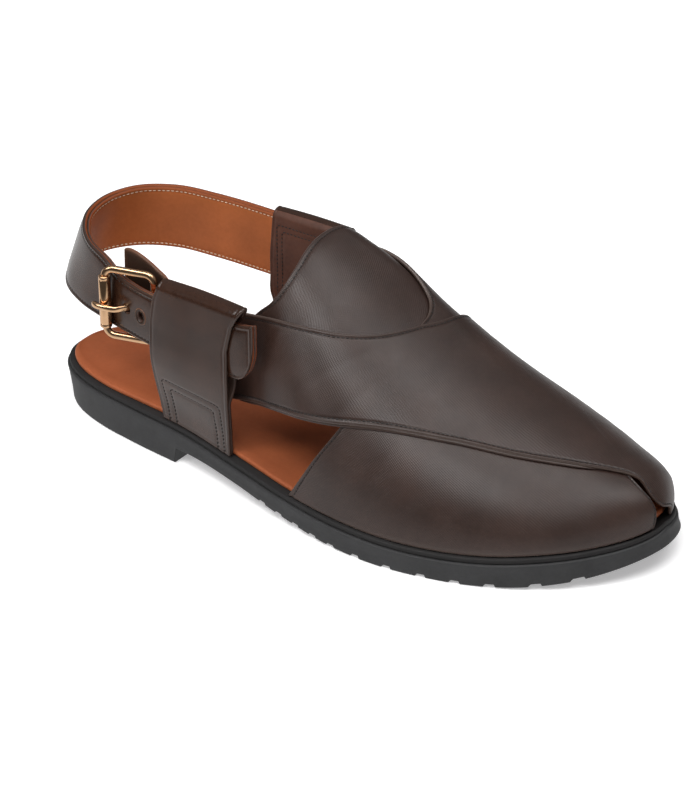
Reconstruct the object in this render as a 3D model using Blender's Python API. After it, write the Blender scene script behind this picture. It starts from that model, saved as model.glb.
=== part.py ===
"""Peshawari chappal, right shoe: rubber sole, crossed leather bands, tongue and buckled heel strap.

Lengths are metres. While it is worked out, +X runs from the heel's end to the toe, +Y to the medial
side and +Z up from the floor. Each finished piece is then moved so that the origin lies on the floor
under the middle of the sole's box.
"""

import bmesh
import bpy
import numpy as np

MM = 0.001

# Driving sizes
SOLE_LENGTH = 290 * MM
BALL_WIDTH = 105 * MM
HEEL_HEIGHT = 16.5 * MM
INSTEP_HEIGHT = 91 * MM
STRAP_TOP = 84 * MM
TOE_SWING = 9.6 * MM
CLEARANCE = 0.3 * MM

# Sole
EDGE_BREAK = 0.8 * MM
HEEL_TAPER = 2.0 * MM
TOE_FLARE = 1.2 * MM
HEEL_BREAST = 0.275
BREAST_RUN = 1.6 * MM
LUG_PITCH = 13.5 * MM
LUG_GROOVE = 3.2 * MM
LUG_DEPTH = 1.5 * MM
LUG_DRAFT = 0.4 * MM
LUG_START, LUG_END = 0.53, 0.94
MIDSOLE_INSET = 1.0 * MM
MIDSOLE_THICKNESS = 2.0 * MM
INSOLE_THICKNESS = 2.0 * MM

# Leather
UPPER_INSET = 2.0 * MM
BAND_WALL = 2.0 * MM
BAND_STEP = 1.5 * MM
TONGUE_WALL = 1.6 * MM
DRAW_IN_HEIGHT = 30 * MM
QUARTER_WIDTH = 43 * MM
QUARTER_LAYER = 1.6 * MM
QUARTER_FOOT = 2.4 * MM
STRAP_WALL = 3.6 * MM
FLAP_WALL = 1.8 * MM
HOLE_RADIUS = 2.0 * MM
HOLE_SLOT = 3.0 * MM
HOLE_PITCH = 8.4 * MM

# Buckle
ROLLER_RADIUS = 2.5 * MM
ROLLER_X = 0.162 * SOLE_LENGTH
WIRE_RADIUS = 1.5 * MM
FRAME_LENGTH = 22 * MM
FRAME_CORNER = 3.5 * MM
PRONG_WIDTH = 3.0 * MM
PRONG_THICKNESS = 2.2 * MM
PRONG_RING = 2.5 * MM

BAR_X = ROLLER_X + FRAME_LENGTH
PRONG_HOLE = ROLLER_X + 0.48 * FRAME_LENGTH
SPARE_HOLE = PRONG_HOLE + HOLE_PITCH
QUARTER_REAR = BAR_X + PRONG_RING + 1.0 * MM

MIDSOLE_TOP = CLEARANCE + MIDSOLE_THICKNESS
UPPER_BASE = MIDSOLE_TOP + CLEARANCE


def table(columns, rows):
    """Columns by name, one row for each section."""
    return dict(zip(columns.split(), np.array(rows, float).T))


# Half widths of the outsole from its centre line, as shares of the ball's width
OUTLINE = table("share lateral medial", [
    (0.000, 0.000, 0.000),
    (0.020, 0.148, 0.157),
    (0.060, 0.234, 0.250),
    (0.120, 0.291, 0.308),
    (0.200, 0.326, 0.338),
    (0.300, 0.362, 0.342),
    (0.400, 0.425, 0.338),
    (0.500, 0.491, 0.357),
    (0.600, 0.543, 0.402),
    (0.680, 0.558, 0.440),
    (0.760, 0.533, 0.453),
    (0.840, 0.465, 0.423),
    (0.910, 0.355, 0.345),
    (0.960, 0.227, 0.250),
    (0.988, 0.118, 0.146),
    (1.000, 0.000, 0.000),
])

# Height of the outsole's upper face, as a share of the heel's height
SOLE_TOP = table("share height", [
    (0.00, 1.000),
    (0.12, 1.000),
    (0.30, 0.900),
    (0.42, 0.775),
    (0.55, 0.620),
    (0.68, 0.558),
    (0.80, 0.582),
    (0.90, 0.715),
    (1.00, 1.060),
])

# Height of its lower face in front of the heel, as a share of the heel's height
SOLE_BOTTOM = table("share height", [
    (0.275, 0.420),
    (0.340, 0.430),
    (0.420, 0.345),
    (0.500, 0.190),
    (0.580, 0.050),
    (0.650, 0.000),
    (0.800, 0.000),
    (0.880, 0.085),
    (0.950, 0.315),
    (1.000, 0.620),
])

# Gap between the outsole's edge and the insole's edge, in shares of the upper's inset
INSOLE_EDGE = table("share inset", [
    (0.00, 1.60),
    (0.12, 1.75),
    (0.24, 2.45),
    (1.00, 2.45),
])

# The last: side shift of its ridge in ball widths, height in instep heights, fullness of the
# section's curve, and how far the lateral side draws in above its foot, as a share of its half width
LAST = table("share ridge height fullness draw", [
    (0.250, 0.000, 0.945, 3.60, 0.19),
    (0.350, 0.022, 0.990, 3.40, 0.19),
    (0.400, 0.036, 1.006, 3.22, 0.17),
    (0.450, 0.061, 1.009, 2.95, 0.07),
    (0.520, 0.106, 0.923, 2.78, 0.00),
    (0.600, 0.118, 0.747, 2.58, 0.00),
    (0.700, 0.106, 0.563, 2.37, 0.00),
    (0.800, 0.083, 0.430, 2.22, 0.00),
    (0.900, 0.073, 0.288, 2.17, 0.00),
    (0.960, 0.080, 0.203, 2.27, 0.00),
    (0.985, 0.088, 0.137, 2.42, 0.00),
    (1.000, 0.091, 0.000, 2.50, 0.00),
])

# Edges of the leather on the last: share of the length, share of the girth from the lateral foot
LATERAL_BAND_TOP = table("share girth", [
    (0.365, 0.281),
    (0.395, 0.289),
    (0.440, 0.302),
    (0.489, 0.322),
    (0.515, 0.336),
    (0.545, 0.357),
    (0.567, 0.382),
    (0.586, 0.416),
    (0.598, 0.449),
    (0.607, 0.485),
    (0.613, 0.517),
    (0.620, 0.552),
    (0.626, 0.618),
    (0.621, 0.695),
    (0.600, 0.792),
    (0.556, 0.904),
    (0.508, 1.000),
])
LATERAL_BAND_LOW = table("share girth", [
    (0.365, 0.103),
    (0.475, 0.150),
    (0.545, 0.184),
    (0.668, 0.260),
    (0.745, 0.303),
    (0.819, 0.340),
    (0.850, 0.365),
    (0.888, 0.406),
    (0.928, 0.461),
    (0.9475, 0.483),
    (0.9595, 0.480),
    (0.970, 0.452),
    (0.979, 0.430),
    (0.9875, 0.420),
    (0.9935, 0.450),
    (0.9965, 0.640),
    (0.997, 1.000),
])
MEDIAL_BAND_TOP = table("share girth", [
    (0.365, 0.725),
    (0.405, 0.698),
    (0.440, 0.671),
    (0.470, 0.649),
    (0.500, 0.635),
    (0.528, 0.628),
    (0.552, 0.621),
    (0.575, 0.610),
    (0.591, 0.597),
    (0.600, 0.581),
    (0.607, 0.557),
    (0.611, 0.521),
    (0.616, 0.430),
    (0.611, 0.300),
    (0.592, 0.208),
    (0.550, 0.096),
    (0.508, 0.000),
])
MEDIAL_BAND_LOW = table("share girth", [
    (0.365, 0.897),
    (0.475, 0.850),
    (0.545, 0.817),
    (0.668, 0.745),
    (0.745, 0.690),
    (0.820, 0.635),
    (0.893, 0.560),
    (0.938, 0.495),
    (0.966, 0.434),
    (0.985, 0.380),
    (0.9935, 0.312),
    (0.997, 0.180),
    (0.9965, 0.000),
])
TONGUE_REAR = table("share girth", [
    (0.385, 0.262),
    (0.408, 0.298),
    (0.432, 0.329),
    (0.4455, 0.367),
    (0.4510, 0.408),
    (0.4480, 0.462),
    (0.4445, 0.505),
    (0.4445, 0.540),
    (0.4480, 0.575),
    (0.4490, 0.615),
    (0.4420, 0.655),
    (0.4230, 0.692),
    (0.392, 0.740),
])
TONGUE_FRONT = table("share girth", [
    (0.640, 0.310),
    (0.655, 0.400),
    (0.660, 0.490),
    (0.655, 0.580),
    (0.640, 0.670),
])

# Middle of the heel strap from its medial end round the heel to its lateral tip: place along the
# length, across the ball's width, edges in shares of its top height, how far it leans, in walls
HEEL_STRAP = table("along across low high lean", [
    (0.379, 0.367, 0.662, 1.019, 0.00),
    (0.317, 0.369, 0.668, 1.026, 0.00),
    (0.246, 0.367, 0.676, 1.037, 0.00),
    (0.172, 0.352, 0.688, 1.045, 0.00),
    (0.103, 0.313, 0.699, 1.054, 0.30),
    (0.053, 0.222, 0.702, 1.052, 0.90),
    (0.027, 0.088, 0.700, 1.038, 1.77),
    (0.029, -0.048, 0.694, 1.022, 2.40),
    (0.054, -0.161, 0.685, 1.011, 2.35),
    (0.095, -0.245, 0.674, 1.004, 1.45),
    (0.147, -0.299, 0.664, 0.986, 0.65),
    (0.177, -0.321, 0.657, 0.944, 0.35),
    (0.206, -0.337, 0.650, 0.928, 0.20),
    (0.248, -0.359, 0.641, 0.925, 0.00),
    (0.290, -0.373, 0.636, 0.926, 0.00),
    (0.331, -0.383, 0.639, 0.933, 0.00),
    (0.393, -0.406, 0.656, 0.955, 0.00),
    (0.443, -0.426, 0.672, 0.974, 0.00),
])

# A quarter strap's section by height: how far its face has left the sole's edge for the heel strap,
# and how far its two layers have opened round what runs between them
QUARTER = table("height belt open", [
    (0.00, 0.00, 0.00),
    (0.10, 0.12, 0.00),
    (0.25, 0.48, 0.00),
    (0.37, 0.78, 0.05),
    (0.46, 0.96, 0.85),
    (0.50, 1.00, 1.00),
    (0.70, 1.00, 1.00),
    (0.955, 1.00, 1.00),
    (0.985, 0.92, 0.80),
    (1.00, 0.82, 0.45),
])

# How far a quarter strap's edges lie from their plain places by height on each side, as shares of its
# width, how high its crest lies and how far the crest rises to the front
QUARTER_EDGES = {
    -1: table("height rear front", [
        (0.00, 0.012, -0.049),
        (0.10, -0.005, -0.047),
        (0.22, -0.005, -0.028),
        (0.48, 0.000, 0.005),
        (0.72, 0.009, 0.005),
        (0.88, 0.056, 0.079),
        (1.00, 0.144, 0.200),
    ]),
    1: table("height rear front", [
        (0.00, 0.153, 0.084),
        (0.22, 0.135, 0.051),
        (0.48, 0.135, 0.042),
        (0.72, 0.144, 0.042),
        (0.88, 0.167, 0.060),
        (1.00, 0.186, 0.088),
    ]),
}
QUARTER_CREST = {-1: 1.036 * STRAP_TOP, 1: 1.069 * STRAP_TOP}
CREST_RISE = {-1: 0.021 * STRAP_TOP, 1: 0.0}

# The guard flap between foot and buckle: place in frame lengths from the buckle's bar, edges in
# shares of the strap's top height, and how far the bar pushes it in
GUARD_FLAP = table("along low high off", [
    (1.37, 0.640, 0.940, 0.0),
    (0.95, 0.635, 0.950, 0.0),
    (0.49, 0.625, 0.965, 0.2),
    (0.09, 0.605, 0.990, 1.0),
    (-0.24, 0.580, 1.020, 1.0),
    (-0.61, 0.560, 1.045, 0.9),
    (-0.96, 0.555, 1.045, 0.8),
])


def warp(share):
    """Shares of the length spread so that rounded ends are cut as evenly as an arc."""
    return np.arccos(np.clip(1 - 2 * np.asarray(share, float), -1, 1)) / np.pi


def share_at(w):
    return (1 - np.cos(np.pi * np.asarray(w, float))) / 2


def smooth(xs, ys, x):
    """Cubic curve through the rows, its slope at each row taken from the rows beside it."""
    step = np.diff(xs)
    rise = np.diff(ys) / step
    inner = (rise[:-1] * step[1:] + rise[1:] * step[:-1]) / (step[:-1] + step[1:])
    slope = np.concatenate([[2 * rise[0] - inner[0]], inner, [2 * rise[-1] - inner[-1]]])
    i = np.clip(np.searchsorted(xs, x) - 1, 0, len(xs) - 2)
    t = (x - xs[i]) / step[i]
    a, b = ys[i], ys[i + 1]
    m, n = slope[i] * step[i], slope[i + 1] * step[i]
    return a + t * (m + t * (3 * (b - a) - 2 * m - n + t * (2 * (a - b) + m + n)))


def read(rows, column, w):
    """A column of a table by share of the length."""
    return smooth(warp(rows["share"]), rows[column], np.clip(w, 0, 1))


def ease(x):
    x = np.clip(x, 0, 1)
    return x * x * (3 - 2 * x)


def outline(w, side, inset=0.0):
    """The outsole's edge, side -1 lateral and 1 medial, moved in along its own normal."""
    w = np.asarray(w, float)
    column = "lateral" if side < 0 else "medial"

    def point(v):
        share = share_at(v)
        swing = TOE_SWING * np.clip((share - 0.45) / 0.55, 0, 1) ** 1.5
        half = read(OUTLINE, column, v) * BALL_WIDTH
        return np.stack([share * SOLE_LENGTH, swing + side * half], -1)

    reach = 1e-4
    along = point(np.clip(w + reach, 0, 1)) - point(np.clip(w - reach, 0, 1))
    along /= np.linalg.norm(along, axis=-1, keepdims=True)
    inward = np.stack([along[..., 1], -along[..., 0]], -1) * side
    return point(w) + inward * np.asarray(inset)[..., None]


def sole_top(w):
    return read(SOLE_TOP, "height", w) * HEEL_HEIGHT


def last_point(w, phi):
    """A point of the last: phi runs from 0 at the lateral foot over the ridge to pi at the medial."""
    fullness = read(LAST, "fullness", w)
    ridge = read(LAST, "ridge", w) * BALL_WIDTH
    height = np.maximum(read(LAST, "height", w), 0) * INSTEP_HEIGHT
    draw = np.maximum(read(LAST, "draw", w), 0)
    across, up = np.cos(phi), np.abs(np.sin(phi))
    radius = (np.abs(across) ** fullness + up ** fullness) ** (-1 / fullness)
    lateral = across >= 0
    foot = np.where(lateral[..., None], outline(w, -1, UPPER_INSET), outline(w, 1, UPPER_INSET))
    rise = height * up * radius
    out = np.abs(across) * radius * np.where(lateral, 1 - draw * ease(rise / DRAW_IN_HEIGHT), 1)
    x = share_at(w) * SOLE_LENGTH * (1 - out) + foot[..., 0] * out
    y = ridge * (1 - out) + foot[..., 1] * out
    return np.stack([x, y, sole_top(w) + UPPER_BASE + rise], -1)


def on_last(w, girth):
    """A point of the last by share of its girth, from the lateral foot to the medial foot."""
    w, girth = np.broadcast_arrays(np.asarray(w, float), np.asarray(girth, float))
    rows, goal = w.ravel(), np.clip(girth.ravel(), 0, 1)
    phi = np.linspace(0, np.pi, 97)
    line = last_point(rows[:, None] + 0 * phi, phi + 0 * rows[:, None])
    steps = np.linalg.norm(np.diff(line, axis=1), axis=2)
    run = np.concatenate([np.zeros((len(rows), 1)), np.cumsum(steps, axis=1)], axis=1)
    goal = goal * run[:, -1]
    at = np.clip((run < goal[:, None]).sum(axis=1) - 1, 0, len(phi) - 2)
    each = np.arange(len(goal))
    part = (goal - run[each, at]) / (run[each, at + 1] - run[each, at])
    return last_point(rows, phi[at] + part * phi[1]).reshape(w.shape + (3,))


def leather(w, girth, offset):
    """The last's surface moved out along its normal."""
    reach = 2e-3
    along = on_last(np.clip(w + reach, 0, 1), girth) - on_last(np.clip(w - reach, 0, 1), girth)
    round_it = on_last(w, np.clip(girth + reach, 0, 1)) - on_last(w, np.clip(girth - reach, 0, 1))
    normal = np.cross(along, round_it)
    normal /= np.linalg.norm(normal, axis=-1, keepdims=True)
    return on_last(w, girth) + normal * np.asarray(offset)[..., None]


def edge_line(rows, count):
    """Points at even steps along an edge of the leather, as (warped share, girth)."""
    w = warp(rows["share"])
    knots = on_last(w, rows["girth"])
    run = np.concatenate([[0], np.cumsum(np.linalg.norm(np.diff(knots, axis=0), axis=1))])
    at = np.linspace(0, run[-1], count)
    return np.stack([smooth(run, w, at), np.clip(smooth(run, rows["girth"], at), 0, 1)], -1)


def patch(first, second, start, end):
    """A Coons patch in (warped share, girth) between four edge lines."""
    a = np.linspace(0, 1, len(first))[:, None, None]
    b = np.linspace(0, 1, len(start))[None, :, None]
    ruled = first[:, None] * (1 - b) + second[:, None] * b
    cross = start[None, :] * (1 - a) + end[None, :] * a
    corners = ((first[0] * (1 - b) + second[0] * b) * (1 - a)
               + (first[-1] * (1 - b) + second[-1] * b) * a)
    return ruled + cross - corners


def straight(a, b, count):
    t = np.linspace(0, 1, count)[:, None]
    return a * (1 - t) + b * t


def band_grid(top, low, along, across):
    first, second = edge_line(top, along), edge_line(low, along)
    return patch(first, second, straight(first[0], second[0], across),
                 straight(first[-1], second[-1], across))


def shell(outer, inner):
    """Vertices and faces of the closed solid between two grids of the same size."""
    m, n = outer.shape[:2]
    points = np.concatenate([outer.reshape(-1, 3), inner.reshape(-1, 3)])

    def at(layer, i, j):
        return layer * m * n + i * n + j

    faces = []
    for i in range(m - 1):
        for j in range(n - 1):
            square = [(i, j), (i + 1, j), (i + 1, j + 1), (i, j + 1)]
            faces.append([at(0, *k) for k in square])
            faces.append([at(1, *k) for k in reversed(square)])
    rim = [(i, 0) for i in range(m)] + [(m - 1, j) for j in range(1, n)]
    rim += [(i, n - 1) for i in range(m - 2, -1, -1)] + [(0, j) for j in range(n - 2, 0, -1)]
    for k, here in enumerate(rim):
        after = rim[(k + 1) % len(rim)]
        faces.append([at(0, *here), at(1, *here), at(1, *after), at(0, *after)])
    return points, faces


def plate(w, levels):
    """The closed solid inside the outsole's outline: each level is its (inset, height) along w."""
    last = len(w) - 1
    rings = []
    for inset, height in levels:
        lateral = np.column_stack([outline(w, -1, inset), height])
        medial = np.column_stack([outline(w, 1, inset), height])
        rings.append(np.concatenate([lateral, medial[last - 1:0:-1]]))
    size = len(rings[0])
    faces = []
    for level in range(len(rings) - 1):
        low, high = level * size, (level + 1) * size
        for k in range(size):
            after = (k + 1) % size
            faces.append([low + k, low + after, high + after, high + k])
    for start in (0, (len(rings) - 1) * size):
        faces.append([start, start + 1, start + size - 1])
        faces.append([start + last, start + last - 1, start + last + 1])
        for k in range(1, last - 1):
            faces.append([start + k, start + k + 1, start + size - k - 1, start + size - k])
    return np.concatenate(rings), faces


def material(name, colour, roughness, metallic=0.0):
    found = bpy.data.materials.new(name)
    found.use_nodes = True
    shader = found.node_tree.nodes["Principled BSDF"]
    shader.inputs["Base Color"].default_value = (*colour, 1)
    shader.inputs["Roughness"].default_value = roughness
    shader.inputs["Metallic"].default_value = metallic
    return found


def add_solid(name, points, faces, finish, origin):
    """One object from a closed mesh, its faces turned outwards and its place in its vertices."""
    mesh = bpy.data.meshes.new(name)
    mesh.from_pydata([tuple(p) for p in np.asarray(points) - origin], [], faces)
    work = bmesh.new()
    work.from_mesh(mesh)
    bmesh.ops.recalc_face_normals(work, faces=work.faces)
    work.to_mesh(mesh)
    work.free()
    mesh.shade_smooth()
    mesh.set_sharp_from_angle(angle=np.radians(35))
    solid = bpy.data.objects.new(name, mesh)
    solid.data.materials.append(finish)
    bpy.context.scene.collection.objects.link(solid)
    return solid


def combine(solid, other, operation):
    """A Boolean on the solid, with the other object kept as a hidden guide."""
    other.hide_render = True
    other.display_type = "WIRE"
    step = solid.modifiers.new(operation.title() + " " + other.name, "BOOLEAN")
    step.operation = operation
    step.solver = "EXACT"
    step.object = other


def stations(*extra, count):
    """Warped shares along the sole, with the extra shares among them."""
    even = np.linspace(0, 1, count)
    more = warp(np.array(extra)) if extra else np.zeros(0)
    spare = 0.35 / count
    kept = [w for w in even if w in (0, 1) or not len(more) or np.abs(more - w).min() > spare]
    return np.sort(np.concatenate([kept, more]))


def lug_grooves():
    """Shares of the length at the middle of each groove across the tread."""
    count = int((LUG_END - LUG_START) * SOLE_LENGTH / LUG_PITCH) + 1
    return LUG_START + np.arange(count) * LUG_PITCH / SOLE_LENGTH


def outsole(finish):
    half, draft = LUG_GROOVE / 2 / SOLE_LENGTH, LUG_DRAFT / SOLE_LENGTH
    breast_end = HEEL_BREAST + BREAST_RUN / SOLE_LENGTH
    cuts = [HEEL_BREAST, breast_end]
    for middle in lug_grooves():
        cuts += [middle - half - draft, middle - half, middle + half, middle + half + draft]
    w = stations(*cuts, count=49)
    share = share_at(w)
    arch = smooth(SOLE_BOTTOM["share"], SOLE_BOTTOM["height"], np.clip(share, HEEL_BREAST, 1))
    front = np.clip((share - HEEL_BREAST) / (breast_end - HEEL_BREAST), 0, 1)
    bottom = np.maximum(arch, 0) * HEEL_HEIGHT * front
    for middle in lug_grooves():
        inside = np.abs(share - middle) <= half + draft / 2
        bottom = bottom + LUG_DEPTH * inside
    taper = HEEL_TAPER * (1 - ease(share / HEEL_BREAST))
    splay = taper - TOE_FLARE * ease((share - 0.72) / 0.28)
    top = sole_top(w)
    return plate(w, [
        (splay + EDGE_BREAK, bottom),
        (splay, bottom + EDGE_BREAK),
        (0 * w, top - EDGE_BREAK),
        (0 * w + EDGE_BREAK / 2, top),
    ])


def midsole():
    w = stations(count=41)
    top = sole_top(w)
    inset = MIDSOLE_INSET + 0 * w
    return plate(w, [(inset, top + CLEARANCE), (inset, top + MIDSOLE_TOP)])


def insole():
    w = stations(count=41)
    inset = np.interp(share_at(w), INSOLE_EDGE["share"], INSOLE_EDGE["inset"]) * UPPER_INSET
    low = sole_top(w) + UPPER_BASE
    return plate(w, [(inset, low), (inset, low + INSOLE_THICKNESS)])


def lateral_band():
    """The band on top: it lies a step above the other and comes down to the sole medially."""
    grid = band_grid(LATERAL_BAND_TOP, LATERAL_BAND_LOW, 44, 13)
    w, girth = grid[..., 0], grid[..., 1]
    lift = ease((share_at(w) - 0.47) / 0.10) * (1 - ease((girth - 0.84) / 0.13))
    lift = BAND_STEP * lift * (1 - ease((share_at(w) - 0.955) / 0.035))
    return shell(leather(w, girth, lift), leather(w, girth, lift - BAND_WALL))


def medial_band():
    grid = band_grid(MEDIAL_BAND_TOP, MEDIAL_BAND_LOW, 44, 13)
    w, girth = grid[..., 0], grid[..., 1]
    return shell(leather(w, girth, 0 * w), leather(w, girth, 0 * w - BAND_WALL))


def tongue():
    rear, front = edge_line(TONGUE_REAR, 25), edge_line(TONGUE_FRONT, 25)
    grid = patch(rear, front, straight(rear[0], front[0], 13), straight(rear[-1], front[-1], 13))
    w, girth = grid[..., 0], grid[..., 1]
    outer = -BAND_WALL - CLEARANCE + 0 * w
    return shell(leather(w, girth, outer), leather(w, girth, outer - TONGUE_WALL))


def strap_line(count):
    """Middle of the heel strap's low and high edge at even steps, and the way out from the foot."""
    flat = np.stack([HEEL_STRAP["along"] * SOLE_LENGTH, HEEL_STRAP["across"] * BALL_WIDTH], -1)
    run = np.concatenate([[0], np.cumsum(np.linalg.norm(np.diff(flat, axis=0), axis=1))])
    at = np.linspace(0, run[-1], count)
    middle = np.stack([smooth(run, flat[:, k], at) for k in (0, 1)], -1)
    along = np.gradient(middle, axis=0)
    along /= np.linalg.norm(along, axis=1, keepdims=True)
    out = np.stack([along[:, 1], -along[:, 0]], -1)
    out *= np.sign(out[0, 1])
    lean = smooth(run, HEEL_STRAP["lean"], at)[:, None] * STRAP_WALL / 2
    low, high = (smooth(run, HEEL_STRAP[k], at) * STRAP_TOP for k in ("low", "high"))
    edges = np.stack([np.column_stack([middle + out * lean, low]),
                      np.column_stack([middle - out * lean, high])], 1)
    return edges, np.column_stack([out, 0 * low])


def strap_at(x, side, share=0.5):
    """Place across and height of the heel strap on one side, share 0 at its low edge, 1 at its high."""
    edges, _ = strap_line(241)
    line = edges[:, 0] * (1 - share) + edges[:, 1] * share
    line = line[line[:, 1] * side > BALL_WIDTH * 0.2]
    order = np.argsort(line[:, 0])
    return np.interp(x, line[order, 0], line[order, 1]), np.interp(x, line[order, 0], line[order, 2])


def belt(x, side, share=0.5):
    return strap_at(x, side, share)[0]


def heel_strap():
    edges, out = strap_line(61)
    rise = np.linspace(0, 1, 5)[None, :, None]
    middle = edges[:, :1] * (1 - rise) + edges[:, 1:] * rise
    tip = ease(np.arange(61) / 3 - 19)[:, None] * (1 - rise[0, :, 0])
    middle[..., 2] += tip * STRAP_WALL * 2.5
    return shell(middle + out[:, None] * STRAP_WALL / 2, middle - out[:, None] * STRAP_WALL / 2)


def strap_hole(x, slot):
    """A cutter through the lateral side of the heel strap at x, longer by the slot."""
    turn = np.linspace(0, 2 * np.pi, 17)[:-1]
    side = np.where(np.cos(turn) > 0, slot / 2, -slot / 2)
    round_it = np.stack([x + HOLE_RADIUS * np.cos(turn) + side, 0 * turn,
                         prong_height(x) + HOLE_RADIUS * np.sin(turn)], -1)
    y = belt(x, -1)
    reach = np.array([0, STRAP_WALL * 1.2, 0])
    near, far = round_it + [0, y, 0] + reach, round_it + [0, y, 0] - reach
    count = len(turn)
    faces = [[k, (k + 1) % count, count + (k + 1) % count, count + k] for k in range(count)]
    faces += [list(range(count)), list(range(2 * count - 1, count - 1, -1))]
    return np.concatenate([near, far]), faces


def prong_height(x):
    """Middle height of the heel strap on its lateral side."""
    return strap_at(x, -1)[1]


def quarter_faces(side, grow_x, outer_inset, inner_inset, low, high):
    """Grids of a quarter strap's outer and inner face, or of the tunnel's when inset."""
    depth = STRAP_WALL + 2 * CLEARANCE + 2 * QUARTER_LAYER
    share = np.linspace(low, high, 15)
    edges = QUARTER_EDGES[side]
    rows = {k: np.interp(share, QUARTER["height"], QUARTER[k]) for k in ("belt", "open")}
    across = np.linspace(0, 1, 9)
    rear, front = (np.interp(share, edges["height"], edges[k]) * QUARTER_WIDTH for k in ("rear", "front"))
    rear = QUARTER_REAR + rear - grow_x
    front = QUARTER_REAR + QUARTER_WIDTH + front + grow_x
    x = rear[:, None] * (1 - across) + front[:, None] * across
    w = warp(x / SOLE_LENGTH)
    foot = outline(w, side, UPPER_INSET)[..., 1]
    foot_z = sole_top(w) + UPPER_BASE
    face = belt(x, side) + side * (STRAP_WALL / 2 + CLEARANCE + QUARTER_LAYER)
    outer = foot + (face - foot) * rows["belt"][:, None]
    thick = QUARTER_FOOT + (depth - QUARTER_FOOT) * rows["open"][:, None]
    z = foot_z + (QUARTER_CREST[side] - foot_z) * share[:, None]
    z = z + CREST_RISE[side] * across * ease((share[:, None] - 0.5) / 0.5)
    return (np.stack([x, outer - side * outer_inset, z], -1),
            np.stack([x, outer - side * (thick - inner_inset), z], -1))


def quarter_strap(side):
    return shell(*quarter_faces(side, 0.0, 0.0, 0.0, 0.0, 1.0))


def quarter_tunnel(side):
    return shell(*quarter_faces(side, 4 * MM, QUARTER_LAYER, QUARTER_LAYER, 0.455, 0.975))


def guard_flap():
    """The leather flap between foot and buckle, which comes out of the lateral quarter strap."""
    at = np.linspace(0, 1, 25)
    knots = np.linspace(0, 1, len(GUARD_FLAP["along"]))
    along, low, high, off = (smooth(knots, GUARD_FLAP[k], at) for k in ("along", "low", "high", "off"))
    x = BAR_X + along * FRAME_LENGTH
    push = 2 * PRONG_RING - QUARTER_LAYER
    y = belt(x, -1) + STRAP_WALL / 2 + QUARTER_LAYER + 2 * CLEARANCE + np.clip(off, 0, 1) * push
    rise = np.linspace(0, 1, 5)
    z = (low[:, None] * (1 - rise) + high[:, None] * rise) * STRAP_TOP
    outer = np.stack([x[:, None] + 0 * z, y[:, None] + 0 * z, z], -1)
    return shell(outer, outer + [0, FLAP_WALL, 0])


def roller_y():
    return belt(ROLLER_X, -1, 0.0) - STRAP_WALL / 2 - CLEARANCE - ROLLER_RADIUS


def bar_y():
    """The bar that carries the prong, on the foot's side of the strap."""
    return belt(BAR_X, -1) + STRAP_WALL / 2 + CLEARANCE + PRONG_RING


def frame_heights():
    edges, _ = strap_line(241)
    near = np.abs(edges[:, 0, 0] - ROLLER_X - FRAME_LENGTH / 2) < FRAME_LENGTH / 2 - WIRE_RADIUS
    lateral = edges[near & (edges[:, 0, 1] < 0)]
    spare = CLEARANCE + WIRE_RADIUS
    return lateral[:, 0, 2].min() - spare, lateral[:, 1, 2].max() + spare


def frame_path(per_corner=5):
    """The frame's wire: a rectangle with round corners, tilted from the roller down to the bar."""
    low, high = frame_heights()
    length = np.hypot(FRAME_LENGTH, bar_y() - roller_y())
    corners = [(0, low, 180), (length, low, 270), (length, high, 0), (0, high, 90)]
    flat = []
    for u, z, start in corners:
        centre_u = u + FRAME_CORNER * (1 if u == 0 else -1)
        centre_z = z + FRAME_CORNER * (1 if z == low else -1)
        for turn in np.radians(start + np.linspace(0, 90, per_corner)):
            flat.append((centre_u + FRAME_CORNER * np.cos(turn), centre_z + FRAME_CORNER * np.sin(turn)))
    flat = np.array(flat)
    part = flat[:, 0] / length
    x = ROLLER_X + part * FRAME_LENGTH
    y = roller_y() + part * (bar_y() - roller_y())
    return np.stack([x, y, flat[:, 1]], -1)


def wire(name, path, radius, finish, origin):
    """A closed wire along the path, as a curve with a round bevel."""
    curve = bpy.data.curves.new(name, "CURVE")
    curve.dimensions = "3D"
    curve.bevel_depth = radius
    curve.bevel_resolution = 2
    line = curve.splines.new("POLY")
    line.points.add(len(path) - 1)
    for point, place in zip(line.points, path - origin):
        point.co = (*place, 1)
    line.use_cyclic_u = True
    curve.materials.append(finish)
    found = bpy.data.objects.new(name, curve)
    bpy.context.scene.collection.objects.link(found)
    return found


def tube(x, y, low, high, radius, bore, sides=20):
    """An upright sleeve."""
    turn = np.linspace(0, 2 * np.pi, sides + 1)[:-1]
    ring = np.stack([np.cos(turn), np.sin(turn)], -1)
    points, faces = [], []
    for r, z in ((radius, low), (radius, high), (bore, high), (bore, low)):
        points.append(np.column_stack([ring * r + [x, y], 0 * turn + z]))
    for level in range(4):
        a, b = level * sides, (level + 1) % 4 * sides
        for k in range(sides):
            after = (k + 1) % sides
            faces.append([a + k, a + after, b + after, b + k])
    return np.concatenate(points), faces


def buckle_roller():
    low, high = frame_heights()
    space = WIRE_RADIUS + FRAME_CORNER * 0.55
    return tube(ROLLER_X, roller_y(), low + space, high - space, ROLLER_RADIUS, WIRE_RADIUS + CLEARANCE)


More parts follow.
